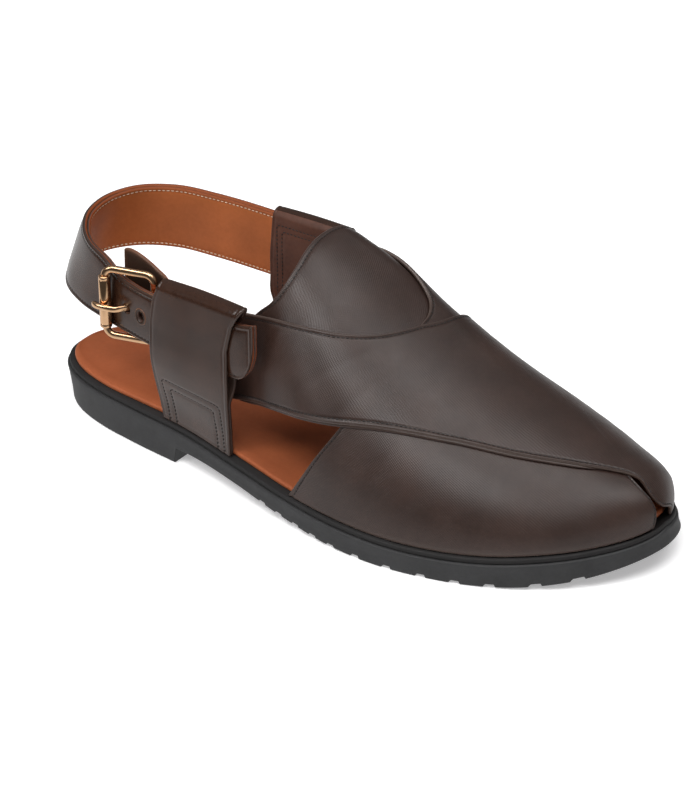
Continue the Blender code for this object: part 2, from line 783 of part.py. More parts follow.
def buckle_prong():
    """The prong: it comes off the bar, through its hole in the strap and lies on the roller."""
    inside = belt(PRONG_HOLE, -1) + STRAP_WALL / 2 + CLEARANCE + PRONG_THICKNESS / 2
    outside = roller_y() - ROLLER_RADIUS - CLEARANCE - PRONG_THICKNESS / 2
    path = np.array([
        (BAR_X - PRONG_RING + 0.3 * MM, inside + 0.5 * MM),
        (PRONG_HOLE + 3.6 * MM, inside + 0.3 * MM),
        (PRONG_HOLE + 1.6 * MM, inside - 0.7 * MM),
        (PRONG_HOLE + 0.4 * MM, inside - 2.4 * MM),
        (PRONG_HOLE - 1.0 * MM, inside - STRAP_WALL - 1.6 * MM),
        (PRONG_HOLE - 3.4 * MM, (4 * outside + inside) / 5 - 0.6 * MM),
        (ROLLER_X + ROLLER_RADIUS, outside),
        (ROLLER_X - ROLLER_RADIUS, outside),
        (ROLLER_X - 2 * ROLLER_RADIUS, outside + 0.7 * MM),
    ])
    along = np.gradient(path, axis=0)
    along /= np.linalg.norm(along, axis=1, keepdims=True)
    across = np.stack([along[:, 1], -along[:, 0]], -1) * PRONG_THICKNESS / 2
    z = prong_height(PRONG_HOLE) + np.array([-0.5, 0.5]) * PRONG_WIDTH

    def face(line):
        return np.stack([np.column_stack([line, 0 * line[:, 0] + level]) for level in z], 1)

    return shell(face(path + across), face(path - across))


def prong_ring():
    middle = prong_height(PRONG_HOLE)
    return tube(BAR_X, bar_y(), middle - PRONG_WIDTH / 2, middle + PRONG_WIDTH / 2,
                PRONG_RING, WIRE_RADIUS + CLEARANCE)


def build():
    for old in list(bpy.data.objects):
        bpy.data.objects.remove(old)
    rubber = material("black rubber", (0.020, 0.020, 0.022), 0.55)
    board = material("black midsole leather", (0.008, 0.008, 0.008), 0.6)
    tan = material("tan lining leather", (0.30, 0.095, 0.035), 0.5)
    grained = material("grained dark brown leather", (0.028, 0.018, 0.015), 0.38)
    polished = material("polished dark brown leather", (0.022, 0.014, 0.011), 0.25)
    brass = material("brass", (0.80, 0.56, 0.26), 0.22, metallic=1.0)

    sole_points, sole_faces = outsole(rubber)
    box = sole_points.min(axis=0), sole_points.max(axis=0)
    origin = np.array([(box[0][0] + box[1][0]) / 2, (box[0][1] + box[1][1]) / 2, 0.0])

    def add(name, shape, finish):
        return add_solid(name, *shape, finish, origin)

    add("outsole", (sole_points, sole_faces), rubber)
    add("midsole", midsole(), board)
    add("insole", insole(), tan)
    upper = add("upper", medial_band(), grained)
    combine(upper, add("lateral_band_shape", lateral_band(), grained), "UNION")
    add("tongue", tongue(), grained)
    for side, name in ((-1, "quarter_strap_lateral"), (1, "quarter_strap_medial")):
        strap = add(name, quarter_strap(side), polished)
        combine(strap, add(name + "_tunnel", quarter_tunnel(side), polished), "DIFFERENCE")
    strap = add("heel_strap", heel_strap(), polished)
    for name, x, slot in (("prong_hole", PRONG_HOLE, HOLE_SLOT), ("spare_hole", SPARE_HOLE, 0)):
        combine(strap, add(name, strap_hole(x, slot), polished), "DIFFERENCE")
    add("guard_flap", guard_flap(), polished)
    wire("buckle_frame", frame_path(), WIRE_RADIUS, brass, origin)
    add("buckle_roller", buckle_roller(), brass)
    prong = add("buckle_prong", buckle_prong(), brass)
    combine(prong, add("prong_ring_shape", prong_ring(), brass), "UNION")


build()
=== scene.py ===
"""Looks of a right peshawari chappal: crossed leather bands, tongue, buckled heel strap, rubber sole.

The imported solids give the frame. Every piece here is built again in detail over its solid: the same
last, outline and strap path, with rolled edges, linings, seams, creases and a moulded sole.

Work is done in metres with +X from the heel's end to the toe, +Y to the medial side, +Z up, and each
finished mesh is moved by SHIFT into the frame's own origin, on the floor under the sole's middle.
"""

import logging
import math
from dataclasses import dataclass
from enum import Enum
from typing import Callable, Iterable, Sequence

import bmesh
import bpy
import numpy as np
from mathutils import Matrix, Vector

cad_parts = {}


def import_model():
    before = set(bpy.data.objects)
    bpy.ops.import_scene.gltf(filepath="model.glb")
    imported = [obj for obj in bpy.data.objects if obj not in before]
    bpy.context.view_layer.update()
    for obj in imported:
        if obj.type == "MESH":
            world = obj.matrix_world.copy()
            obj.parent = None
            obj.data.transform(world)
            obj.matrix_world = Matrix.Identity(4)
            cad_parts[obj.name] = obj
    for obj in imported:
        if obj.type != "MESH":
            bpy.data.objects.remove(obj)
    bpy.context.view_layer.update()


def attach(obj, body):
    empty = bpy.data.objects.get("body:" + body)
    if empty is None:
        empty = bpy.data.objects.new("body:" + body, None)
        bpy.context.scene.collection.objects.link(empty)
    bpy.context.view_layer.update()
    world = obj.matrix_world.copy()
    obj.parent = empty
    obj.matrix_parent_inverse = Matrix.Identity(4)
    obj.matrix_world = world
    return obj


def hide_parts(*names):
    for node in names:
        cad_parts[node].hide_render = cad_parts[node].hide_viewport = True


LOG = logging.getLogger("chappal")
Array = np.ndarray

MM = 0.001
SOLE_LENGTH = 290 * MM
BALL_WIDTH = 105 * MM
HEEL_HEIGHT = 16.5 * MM
INSTEP_HEIGHT = 91 * MM
STRAP_TOP = 84 * MM
TOE_SWING = 9.6 * MM
SHIFT = np.array([145.6, -2.22, 0.0]) * MM

MIDSOLE_INSET = 1.0 * MM
UPPER_INSET = 2.0 * MM
UPPER_BASE = 2.6 * MM
DRAW_IN_HEIGHT = 30 * MM
BAND_WALL = 1.7 * MM
BAND_STEP = 1.5 * MM
TONGUE_WALL = 1.6 * MM
STITCH_PITCH = 1.85 * MM
CREASE_STRENGTH = 0.4


def table(columns: str, rows: Sequence[Sequence[float]]) -> dict[str, Array]:
    """Columns by name, one row for each section."""
    return dict(zip(columns.split(), np.array(rows, float).T))


OUTLINE = table("share lateral medial", [
    (0.000, 0.000, 0.000),
    (0.020, 0.148, 0.157),
    (0.060, 0.234, 0.250),
    (0.120, 0.291, 0.308),
    (0.200, 0.326, 0.338),
    (0.300, 0.362, 0.342),
    (0.400, 0.425, 0.338),
    (0.500, 0.491, 0.357),
    (0.600, 0.543, 0.402),
    (0.680, 0.558, 0.440),
    (0.760, 0.533, 0.453),
    (0.840, 0.465, 0.423),
    (0.910, 0.355, 0.345),
    (0.960, 0.227, 0.250),
    (0.988, 0.118, 0.146),
    (1.000, 0.000, 0.000),
])

SOLE_TOP = table("share height", [
    (0.00, 1.000),
    (0.12, 1.000),
    (0.30, 0.900),
    (0.42, 0.775),
    (0.55, 0.620),
    (0.68, 0.558),
    (0.80, 0.582),
    (0.90, 0.715),
    (1.00, 1.060),
])

SOLE_BOTTOM = table("share height", [
    (0.275, 0.420),
    (0.340, 0.430),
    (0.420, 0.345),
    (0.500, 0.190),
    (0.580, 0.050),
    (0.650, 0.000),
    (0.800, 0.000),
    (0.880, 0.085),
    (0.950, 0.315),
    (1.000, 0.620),
])

LAST = table("share ridge height fullness draw", [
    (0.250, 0.000, 0.945, 3.60, 0.19),
    (0.350, 0.022, 0.990, 3.40, 0.19),
    (0.400, 0.036, 1.006, 3.22, 0.17),
    (0.450, 0.061, 1.009, 2.95, 0.07),
    (0.520, 0.106, 0.923, 2.78, 0.00),
    (0.600, 0.118, 0.747, 2.58, 0.00),
    (0.700, 0.106, 0.563, 2.37, 0.00),
    (0.800, 0.083, 0.430, 2.22, 0.00),
    (0.900, 0.073, 0.288, 2.17, 0.00),
    (0.960, 0.080, 0.203, 2.27, 0.00),
    (0.985, 0.088, 0.137, 2.42, 0.00),
    (1.000, 0.091, 0.000, 2.50, 0.00),
])

LATERAL_BAND_TOP = table("share girth", [
    (0.365, 0.281),
    (0.395, 0.289),
    (0.440, 0.302),
    (0.489, 0.322),
    (0.515, 0.336),
    (0.545, 0.357),
    (0.567, 0.382),
    (0.586, 0.416),
    (0.598, 0.449),
    (0.607, 0.485),
    (0.613, 0.517),
    (0.620, 0.552),
    (0.626, 0.618),
    (0.621, 0.695),
    (0.600, 0.792),
    (0.556, 0.904),
    (0.508, 1.000),
])
LATERAL_BAND_LOW = table("share girth", [
    (0.365, 0.103),
    (0.475, 0.150),
    (0.545, 0.184),
    (0.668, 0.260),
    (0.745, 0.303),
    (0.819, 0.340),
    (0.850, 0.365),
    (0.888, 0.406),
    (0.928, 0.461),
    (0.9475, 0.483),
    (0.9595, 0.480),
    (0.970, 0.452),
    (0.979, 0.430),
    (0.9875, 0.420),
    (0.9935, 0.450),
    (0.9965, 0.640),
    (0.997, 1.000),
])
MEDIAL_BAND_TOP = table("share girth", [
    (0.365, 0.725),
    (0.405, 0.698),
    (0.440, 0.671),
    (0.470, 0.649),
    (0.500, 0.635),
    (0.528, 0.628),
    (0.552, 0.621),
    (0.575, 0.610),
    (0.591, 0.597),
    (0.600, 0.581),
    (0.607, 0.557),
    (0.611, 0.521),
    (0.616, 0.430),
    (0.611, 0.300),
    (0.592, 0.208),
    (0.550, 0.096),
    (0.508, 0.000),
])
MEDIAL_BAND_LOW = table("share girth", [
    (0.365, 0.897),
    (0.475, 0.850),
    (0.545, 0.817),
    (0.668, 0.745),
    (0.745, 0.690),
    (0.820, 0.635),
    (0.893, 0.560),
    (0.938, 0.495),
    (0.966, 0.434),
    (0.985, 0.380),
    (0.9935, 0.312),
    (0.997, 0.180),
    (0.9965, 0.000),
])
TONGUE_REAR = table("share girth", [
    (0.385, 0.262),
    (0.408, 0.298),
    (0.432, 0.329),
    (0.4455, 0.367),
    (0.4510, 0.408),
    (0.4480, 0.462),
    (0.4445, 0.505),
    (0.4445, 0.540),
    (0.4480, 0.575),
    (0.4490, 0.615),
    (0.4420, 0.655),
    (0.4230, 0.692),
    (0.392, 0.740),
])
TONGUE_FRONT = table("share girth", [
    (0.640, 0.310),
    (0.655, 0.400),
    (0.660, 0.490),
    (0.655, 0.580),
    (0.640, 0.670),
])

# Soft creases in the bands: where on the last, their run across the grain in degrees from the
# length, and their size. A negative depth is a swelling.
CREASES = table("share girth turn long wide deep", [
    (0.560, 0.300, 62, 26 * MM, 2.2 * MM, 0.32 * MM),
    (0.600, 0.270, 70, 20 * MM, 1.8 * MM, 0.20 * MM),
    (0.640, 0.420, 84, 34 * MM, 3.2 * MM, 0.26 * MM),
    (0.700, 0.520, 96, 40 * MM, 4.0 * MM, 0.24 * MM),
    (0.660, 0.160, 76, 22 * MM, 2.4 * MM, 0.26 * MM),
    (0.715, 0.120, 82, 20 * MM, 2.6 * MM, 0.22 * MM),
    (0.770, 0.180, 88, 26 * MM, 3.0 * MM, 0.20 * MM),
    (0.440, 0.200, 12, 30 * MM, 6.0 * MM, -0.40 * MM),
    (0.500, 0.250, 30, 28 * MM, 5.0 * MM, 0.30 * MM),
    (0.840, 0.240, 60, 24 * MM, 5.0 * MM, -0.28 * MM),
    (0.905, 0.300, 40, 16 * MM, 4.0 * MM, 0.22 * MM),
    (0.650, 0.780, 84, 30 * MM, 2.8 * MM, 0.26 * MM),
    (0.720, 0.860, 96, 26 * MM, 2.6 * MM, 0.22 * MM),
    (0.480, 0.450, 8, 24 * MM, 6.0 * MM, 0.35 * MM),
    (0.530, 0.520, 80, 30 * MM, 4.0 * MM, 0.30 * MM),
])

HEEL_STRAP = table("along across low high lean", [
    (0.379, 0.367, 0.662, 1.019, 0.00),
    (0.317, 0.369, 0.668, 1.026, 0.00),
    (0.246, 0.367, 0.676, 1.037, 0.00),
    (0.172, 0.352, 0.688, 1.045, 0.00),
    (0.103, 0.313, 0.699, 1.054, 0.30),
    (0.053, 0.222, 0.702, 1.052, 0.90),
    (0.027, 0.088, 0.700, 1.038, 1.77),
    (0.029, -0.048, 0.694, 1.022, 2.40),
    (0.054, -0.161, 0.685, 1.011, 2.35),
    (0.095, -0.245, 0.674, 1.004, 1.45),
    (0.147, -0.299, 0.664, 0.986, 0.65),
    (0.177, -0.321, 0.657, 0.944, 0.35),
    (0.206, -0.337, 0.650, 0.928, 0.20),
    (0.248, -0.359, 0.641, 0.925, 0.00),
    (0.290, -0.373, 0.636, 0.926, 0.00),
    (0.331, -0.383, 0.639, 0.933, 0.00),
    (0.393, -0.406, 0.656, 0.955, 0.00),
    (0.443, -0.426, 0.672, 0.974, 0.00),
])

QUARTER = table("height belt open", [
    (0.00, 0.00, 0.00),
    (0.10, 0.12, 0.00),
    (0.25, 0.48, 0.00),
    (0.37, 0.78, 0.05),
    (0.46, 0.96, 0.85),
    (0.50, 1.00, 1.00),
    (0.70, 1.00, 1.00),
    (1.00, 1.00, 1.00),
])


def warp(share: Array) -> Array:
    """Spreads shares of the length so that rounded ends are cut as evenly as an arc."""
    return np.arccos(np.clip(1 - 2 * np.asarray(share, float), -1, 1)) / np.pi


def share_at(w: Array) -> Array:
    """Gives back the share of the length for a warped share."""
    return (1 - np.cos(np.pi * np.asarray(w, float))) / 2


def ease(x: Array) -> Array:
    """Goes from 0 to 1 with flat ends as x goes from 0 to 1."""
    x = np.clip(x, 0, 1)
    return x * x * (3 - 2 * x)


def smooth(xs: Array, ys: Array, x: Array) -> Array:
    """Reads a cubic curve through rows.

    Args:
        xs: where the rows lie, rising.
        ys: the rows' values.
        x: where to read.

    Returns:
        The curve's values, its slope at each row taken from the rows beside it.
    """
    step = np.diff(xs)
    rise = np.diff(ys) / step
    inner = (rise[:-1] * step[1:] + rise[1:] * step[:-1]) / (step[:-1] + step[1:])
    slope = np.concatenate([[2 * rise[0] - inner[0]], inner, [2 * rise[-1] - inner[-1]]])
    i = np.clip(np.searchsorted(xs, x) - 1, 0, len(xs) - 2)
    t = (x - xs[i]) / step[i]
    a, b = ys[i], ys[i + 1]
    m, n = slope[i] * step[i], slope[i + 1] * step[i]
    return a + t * (m + t * (3 * (b - a) - 2 * m - n + t * (2 * (a - b) + m + n)))


def read(rows: dict[str, Array], column: str, w: Array) -> Array:
    """Reads a table's column by warped share of the length."""
    return smooth(warp(rows["share"]), rows[column], np.clip(w, 0, 1))


def outline(w: Array, side: int, inset: Array | float = 0.0) -> Array:
    """Gives the outsole's edge in plan.

    Args:
        w: warped shares of the length.
        side: -1 lateral, 1 medial.
        inset: distance moved in along the edge's own normal.

    Returns:
        Points as (x, y).
    """
    w = np.asarray(w, float)
    column = "lateral" if side < 0 else "medial"

    def point(v: Array) -> Array:
        share = share_at(v)
        swing = TOE_SWING * np.clip((share - 0.45) / 0.55, 0, 1) ** 1.5
        half = read(OUTLINE, column, v) * BALL_WIDTH
        return np.stack([share * SOLE_LENGTH, swing + side * half], -1)

    reach = 1e-4
    along = point(np.clip(w + reach, 0, 1)) - point(np.clip(w - reach, 0, 1))
    along /= np.linalg.norm(along, axis=-1, keepdims=True)
    inward = np.stack([along[..., 1], -along[..., 0]], -1) * side
    return point(w) + inward * np.asarray(inset)[..., None]


def sole_top(w: Array) -> Array:
    """Gives the height of the outsole's upper face."""
    return read(SOLE_TOP, "height", w) * HEEL_HEIGHT


def last_point(w: Array, phi: Array) -> Array:
    """Gives points of the last, phi running from 0 at the lateral foot to pi at the medial."""
    fullness = read(LAST, "fullness", w)
    ridge = read(LAST, "ridge", w) * BALL_WIDTH
    height = np.maximum(read(LAST, "height", w), 0) * INSTEP_HEIGHT
    draw = np.maximum(read(LAST, "draw", w), 0)
    across, up = np.cos(phi), np.abs(np.sin(phi))
    radius = (np.abs(across) ** fullness + up ** fullness) ** (-1 / fullness)
    lateral = across >= 0
    foot = np.where(lateral[..., None], outline(w, -1, UPPER_INSET), outline(w, 1, UPPER_INSET))
    rise = height * up * radius
    out = np.abs(across) * radius * np.where(lateral, 1 - draw * ease(rise / DRAW_IN_HEIGHT), 1)
    x = share_at(w) * SOLE_LENGTH * (1 - out) + foot[..., 0] * out
    y = ridge * (1 - out) + foot[..., 1] * out
    return np.stack([x, y, sole_top(w) + UPPER_BASE + rise], -1)


def unit(vectors: Array) -> Array:
    """Scales vectors to length one."""
    return vectors / np.maximum(np.linalg.norm(vectors, axis=-1, keepdims=True), 1e-12)


def run_length(points: Array) -> Array:
    """Gives the distance along a line at each of its points."""
    return np.concatenate([[0], np.cumsum(np.linalg.norm(np.diff(points, axis=0), axis=1))])


class Last:
    """The foot's form, sampled once and then read by (warped share, girth)."""

    def __init__(self, rows: int = 420, columns: int = 360) -> None:
        self.low = 0.30
        self.rows, self.columns = rows, columns
        w = np.linspace(self.low, 1, rows)
        phi = np.linspace(0, np.pi, 721)
        girth = np.linspace(0, 1, columns)
        fine = last_point(w[:, None] + 0 * phi, phi + 0 * w[:, None])
        steps = np.linalg.norm(np.diff(fine, axis=1), axis=2)
        run = np.concatenate([np.zeros((rows, 1)), np.cumsum(steps, axis=1)], axis=1)
        self.points = np.empty((rows, columns, 3))
        for i in range(rows):
            goal = girth * run[i, -1]
            for k in range(3):
                self.points[i, :, k] = np.interp(goal, run[i], fine[i, :, k])
        along = np.gradient(self.points, axis=0)
        across = np.gradient(self.points, axis=1)
        normal = np.cross(along, across)
        normal[-1] = normal[-2]
        self.normals = unit(normal)

    def at(self, w: Array, girth: Array, offset: Array | float = 0.0) -> Array:
        """Gives points of the last moved out along its normal.

        Args:
            w: warped shares of the length.
            girth: shares of the girth from the lateral foot.
            offset: distance moved out.

        Returns:
            Points, one for each pair.
        """
        u = np.clip((np.asarray(w) - self.low) / (1 - self.low), 0, 1) * (self.rows - 1)
        v = np.clip(girth, 0, 1) * (self.columns - 1)
        i = np.minimum(u.astype(int), self.rows - 2)
        j = np.minimum(v.astype(int), self.columns - 2)
        s, t = (u - i)[..., None], (v - j)[..., None]

        def blend(a: Array) -> Array:
            near = a[i, j] * (1 - t) + a[i, j + 1] * t
            far = a[i + 1, j] * (1 - t) + a[i + 1, j + 1] * t
            return near * (1 - s) + far * s

        return blend(self.points) + unit(blend(self.normals)) * np.asarray(offset)[..., None]

    def line(self, rows: dict[str, Array], count: int = 500) -> Array:
        """Gives an edge of the leather at even steps as (warped share, girth)."""
        w = warp(rows["share"])
        knots = self.at(w, rows["girth"])
        run = run_length(knots)
        at = np.linspace(0, run[-1], count)
        girth = np.clip(smooth(run, rows["girth"], at), 0, 1)
        return np.stack([smooth(run, w, at), girth], -1)


def read_line(at: Array, run: Array, points: Array) -> Array:
    """Reads a line's points at distances along it."""
    return np.stack([np.interp(at, run, column) for column in points.T], -1)


def pick(line: Array, t: Array) -> Array:
    """Reads a line of points at shares of its count."""
    return read_line(t, np.linspace(0, 1, len(line)), line)


def turns(count: int) -> Array:
    """Gives angles spaced evenly round a full turn."""
    return np.linspace(0, 2 * np.pi, count + 1)[:-1]


def placed(name: str, data: bpy.types.ID) -> bpy.types.Object:
    """Makes an object of the data and puts it in the scene."""
    thing = bpy.data.objects.new(name, data)
    bpy.context.scene.collection.objects.link(thing)
    return thing


def add_node(tree: bpy.types.NodeTree, kind: str, inputs: dict | None = None,
             **settings: object) -> bpy.types.Node:
    """Adds a node, with its settings and with its inputs linked or given values."""
    node = tree.nodes.new(kind)
    for key, value in settings.items():
        setattr(node, key, value)
    for key, value in (inputs or {}).items():
        if isinstance(value, bpy.types.NodeSocket):
            tree.links.new(value, node.inputs[key])
        else:
            node.inputs[key].default_value = value
    return node


EDGE_ROWS = np.array([0, 0.05, 0.16, 0.34, 0.6, 0.9, 1.25, 1.6, 1.95, 2.3, 2.7, 3.2]) * MM


def graded(length: Array, step: float) -> tuple[Array, Array]:
    """Spaces rows closely at both edges and evenly between.

    Args:
        length: how wide the sheet is at each station.
        step: the even spacing where the sheet is widest.

    Returns:
        Shares of the width, one row of them for each station, and distances from the nearer edge.
    """
    length = np.atleast_1d(length)
    shrink = np.minimum(1, length / (2.4 * EDGE_ROWS[-1]))[:, None]
    near = EDGE_ROWS * shrink
    inner = max(2, int((length.max() - 2 * EDGE_ROWS[-1]) / step))
    t = np.linspace(0, 1, inner + 1)[1:-1]
    left, right = near[:, -1:], length[:, None] - near[:, -1:]
    middle = left * (1 - t) + right * t
    place = np.concatenate([near, middle, length[:, None] - near[:, ::-1]], axis=1)
    return place / length[:, None], np.minimum(place, length[:, None] - place)


@dataclass(frozen=True)
class Finish:
    """A finish for leather, rubber, thread or metal, all in linear colour and metres."""

    name: str
    colour: tuple[float, float, float]
    roughness: float
    mottle: float = 0.25
    metallic: float = 0.0
    hatch: float = 0.0
    hatch_pitch: float = 1.0 * MM
    pebble: float = 0.0
    pebble_size: float = 0.6 * MM
    fine: float = 0.0
    edge_colour: tuple[float, float, float] | None = None
    edge_power: float = 1.2
    specular: float = 0.5


class Mesh:
    """Collects the vertices, faces and per-vertex values of one closed piece."""

    def __init__(self, name: str) -> None:
        self.name = name
        self.points: list[Array] = []
        self.uv: list[Array] = []
        self.edge: list[Array] = []
        self.faces: list[Sequence[int]] = []
        self.slots: list[int] = []
        self.count = 0

    def add(self, points: Array, uv: Array, edge: Array | float) -> int:
        """Adds vertices and gives back the first one's index."""
        first = self.count
        flat = np.asarray(points).reshape(-1, 3)
        self.points.append(flat)
        self.uv.append(np.broadcast_to(uv, (*np.shape(points)[:-1], 2)).reshape(-1, 2))
        self.edge.append(np.broadcast_to(edge, np.shape(points)[:-1]).ravel())
        self.count += len(flat)
        return first

    def quad(self, corners: Sequence[int], slot: int) -> None:
        """Adds one face."""
        self.faces.append(corners)
        self.slots.append(slot)

    def shell(self, outer: Array, inner: Array, uv: Array, edge: Array, slots: Sequence[int]) -> None:
        """Adds the closed solid between two grids.

        Args:
            outer: the outer grid's points.
            inner: the inner grid's points.
            uv: the grids' places on the flat leather.
            edge: 1 at a cut edge falling to 0 inside.
            slots: material slots of the outer face, the inner face and the rim.
        """
        m, n = outer.shape[:2]
        a = self.add(outer, uv, edge)
        b = self.add(inner, uv, edge)
        i, j = np.meshgrid(np.arange(m - 1), np.arange(n - 1), indexing="ij")
        base = (i * n + j).ravel()
        square = np.stack([base, base + n, base + n + 1, base + 1], -1)
        self.faces.extend((square + a).tolist())
        self.slots.extend([slots[0]] * len(square))
        self.faces.extend((square[:, ::-1] + b).tolist())
        self.slots.extend([slots[1]] * len(square))
        rim = [i * n for i in range(m)] + [(m - 1) * n + j for j in range(1, n)]
        rim += [i * n + n - 1 for i in range(m - 2, -1, -1)] + list(range(n - 2, 0, -1))
        for k, here in enumerate(rim):
            after = rim[(k + 1) % len(rim)]
            self.quad([a + here, b + here, b + after, a + after], slots[2])

    def rings(self, rings: Array, uv: Array, edge: Array | float, slot: int, caps: bool) -> None:
        """Adds a tube through rings of points, open as a loop or closed by caps."""
        m, n = rings.shape[:2]
        a = self.add(rings, uv, edge)
        for i in range(m - 1 if caps else m):
            for j in range(n):
                here, after = a + i * n, a + (i + 1) % m * n
                k = (j + 1) % n
                self.quad([here + j, here + k, after + k, after + j], slot)
        if caps:
            self.quad([a + j for j in range(n - 1, -1, -1)], slot)
            self.quad([a + (m - 1) * n + j for j in range(n)], slot)

    def object(self, finishes: Sequence[bpy.types.Material], angle: float = 40) -> bpy.types.Object:
        """Makes the piece, its place in its vertices and its faces turned outwards."""
        mesh = bpy.data.meshes.new(self.name)
        points = np.concatenate(self.points) - SHIFT
        mesh.from_pydata(points.tolist(), [], self.faces)
        uv = np.concatenate(self.uv)
        layer = mesh.uv_layers.new(name="Leather")
        loops = np.empty(len(mesh.loops), np.int32)
        mesh.loops.foreach_get("vertex_index", loops)
        layer.data.foreach_set("uv", uv[loops].ravel())
        mesh.polygons.foreach_set("material_index", np.array(self.slots, np.int32))
        edge = mesh.attributes.new("edge", "FLOAT", "POINT")
        edge.data.foreach_set("value", np.concatenate(self.edge).astype(np.float32))
        work = bmesh.new()
        work.from_mesh(mesh)
        bmesh.ops.recalc_face_normals(work, faces=work.faces)
        work.to_mesh(mesh)
        work.free()
        mesh.shade_smooth()
        mesh.set_sharp_from_angle(angle=math.radians(angle))
        for finish in finishes:
            mesh.materials.append(finish)
        return placed(self.name, mesh)


def tube(name: str, rings: Array, finish: bpy.types.Material, angle: float = 60, caps: bool = False,
         edge: Array | float = 0.0, uv: Array | None = None) -> bpy.types.Object:
    """Makes a piece of one finish from rings of points.

    Args:
        name: the piece's name.
        rings: the rings' points.
        finish: its material.
        angle: degrees from which an edge stays sharp.
        caps: whether its ends are closed, or else joined into a loop.
        edge: 1 at a cut edge falling to 0 inside.
        uv: places on the flat leather, if it has any.
    """
    mesh = Mesh(name)
    mesh.rings(rings, np.zeros(2) if uv is None else uv, edge, 0, caps)
    return mesh.object([finish], angle)


def flat_place(points: Array) -> Array:
    """Gives each point of a grid its place on the flat leather, from distances along the grid."""
    along = np.linalg.norm(np.diff(points, axis=0), axis=2)
    across = np.linalg.norm(np.diff(points, axis=1), axis=2)
    u = np.concatenate([np.zeros((1, points.shape[1])), np.cumsum(along, axis=0)])
    v = np.concatenate([np.zeros((points.shape[0], 1)), np.cumsum(across, axis=1)], axis=1)
    v -= v[:, -1:] / 2
    return np.stack([u, v], -1)


def rolled(distance: Array, wall: float) -> Array:
    """Gives how far a face has dropped towards the wall's middle near its rounded edge."""
    half = wall / 2
    inside = np.clip(half - distance, 0, half)
    return half - np.sqrt(np.maximum(half * half - inside * inside, 0))


def cut_edge(distance: Array) -> Array:
    """Gives 1 at a cut edge falling to 0 inside."""
    return np.exp(-distance / MM)


def seam_groove(distance: Array, at: float, depth: float) -> Array:
    """Gives the dip that a pulled seam leaves, with the leather swelling a little at its sides."""
    groove = np.exp(-(((distance - at) / (0.50 * MM)) ** 2))
    swell = np.exp(-(((distance - at * 0.42) / (0.55 * MM)) ** 2))
    return depth * (groove - 0.45 * swell)


class Thread(Enum):
    """Which thread a seam is sewn with."""

    DARK = "dark_thread"
    PALE = "pale_thread"


@dataclass
class Seam:
    """A row of stitches: where it runs, which way is out, and its thread."""

    points: Array
    normals: Array
    thread: Thread
    pitch: float = STITCH_PITCH
    length: float = 1.35 * MM
    width: float = 0.55 * MM
    height: float = 0.36 * MM

    def stations(self) -> tuple[Array, Array, Array]:
        """Gives the middles of the stitches, their run and their way out."""
        run = run_length(self.points)
        count = max(2, int(run[-1] / self.pitch))
        at = (np.arange(count) + 0.5) * run[-1] / count
        middle, ahead, back = (read_line(at + step * MM, run, self.points) for step in (0, 0.3, -0.3))
        return middle, unit(ahead - back), unit(read_line(at, run, self.normals))


def socket(tree: bpy.types.NodeTree, name: str) -> str:
    """Finds the identifier of a tree's input by its name."""
    for item in tree.interface.items_tree:
        if item.item_type == "SOCKET" and item.in_out == "INPUT" and item.name == name:
            return item.identifier
    raise KeyError(name)


def stitch_tree() -> bpy.types.NodeTree:
    """Builds the node tree that lays one thread on each point, by its "along" and "out" values."""
    tree = bpy.data.node_groups.new("Stitches", "GeometryNodeTree")
    for name, kind in (("Geometry", "Geometry"), ("Length", "Float"), ("Width", "Float"),
                       ("Height", "Float"), ("Thread", "Material")):
        tree.interface.new_socket(name, in_out="INPUT", socket_type="NodeSocket" + kind)
    tree.interface.new_socket("Geometry", in_out="OUTPUT", socket_type="NodeSocketGeometry")
    source = add_node(tree, "NodeGroupInput").outputs
    thread = add_node(tree, "GeometryNodeMeshUVSphere", {"Segments": 10, "Rings": 6, "Radius": 0.5})
    size = add_node(tree, "ShaderNodeCombineXYZ",
                    {axis: source[name] for axis, name in zip("XYZ", ("Length", "Width", "Height"))})
    along, out = (add_node(tree, "GeometryNodeInputNamedAttribute", {"Name": name},
                           data_type="FLOAT_VECTOR").outputs["Attribute"] for name in ("along", "out"))
    turn = add_node(tree, "FunctionNodeAxesToRotation", {"Primary Axis": along, "Secondary Axis": out},
                    primary_axis="X", secondary_axis="Z")
    made = add_node(tree, "GeometryNodeInstanceOnPoints", {
        "Points": source["Geometry"], "Instance": thread.outputs["Mesh"],
        "Rotation": turn.outputs["Rotation"], "Scale": size.outputs["Vector"]})
    for kind, inputs in (("GeometryNodeRealizeInstances", {}), ("GeometryNodeSetShadeSmooth", {}),
                         ("GeometryNodeSetMaterial", {"Material": source["Thread"]}),
                         ("NodeGroupOutput", {})):
        made = add_node(tree, kind, {"Geometry": made.outputs[0], **inputs})
    return tree


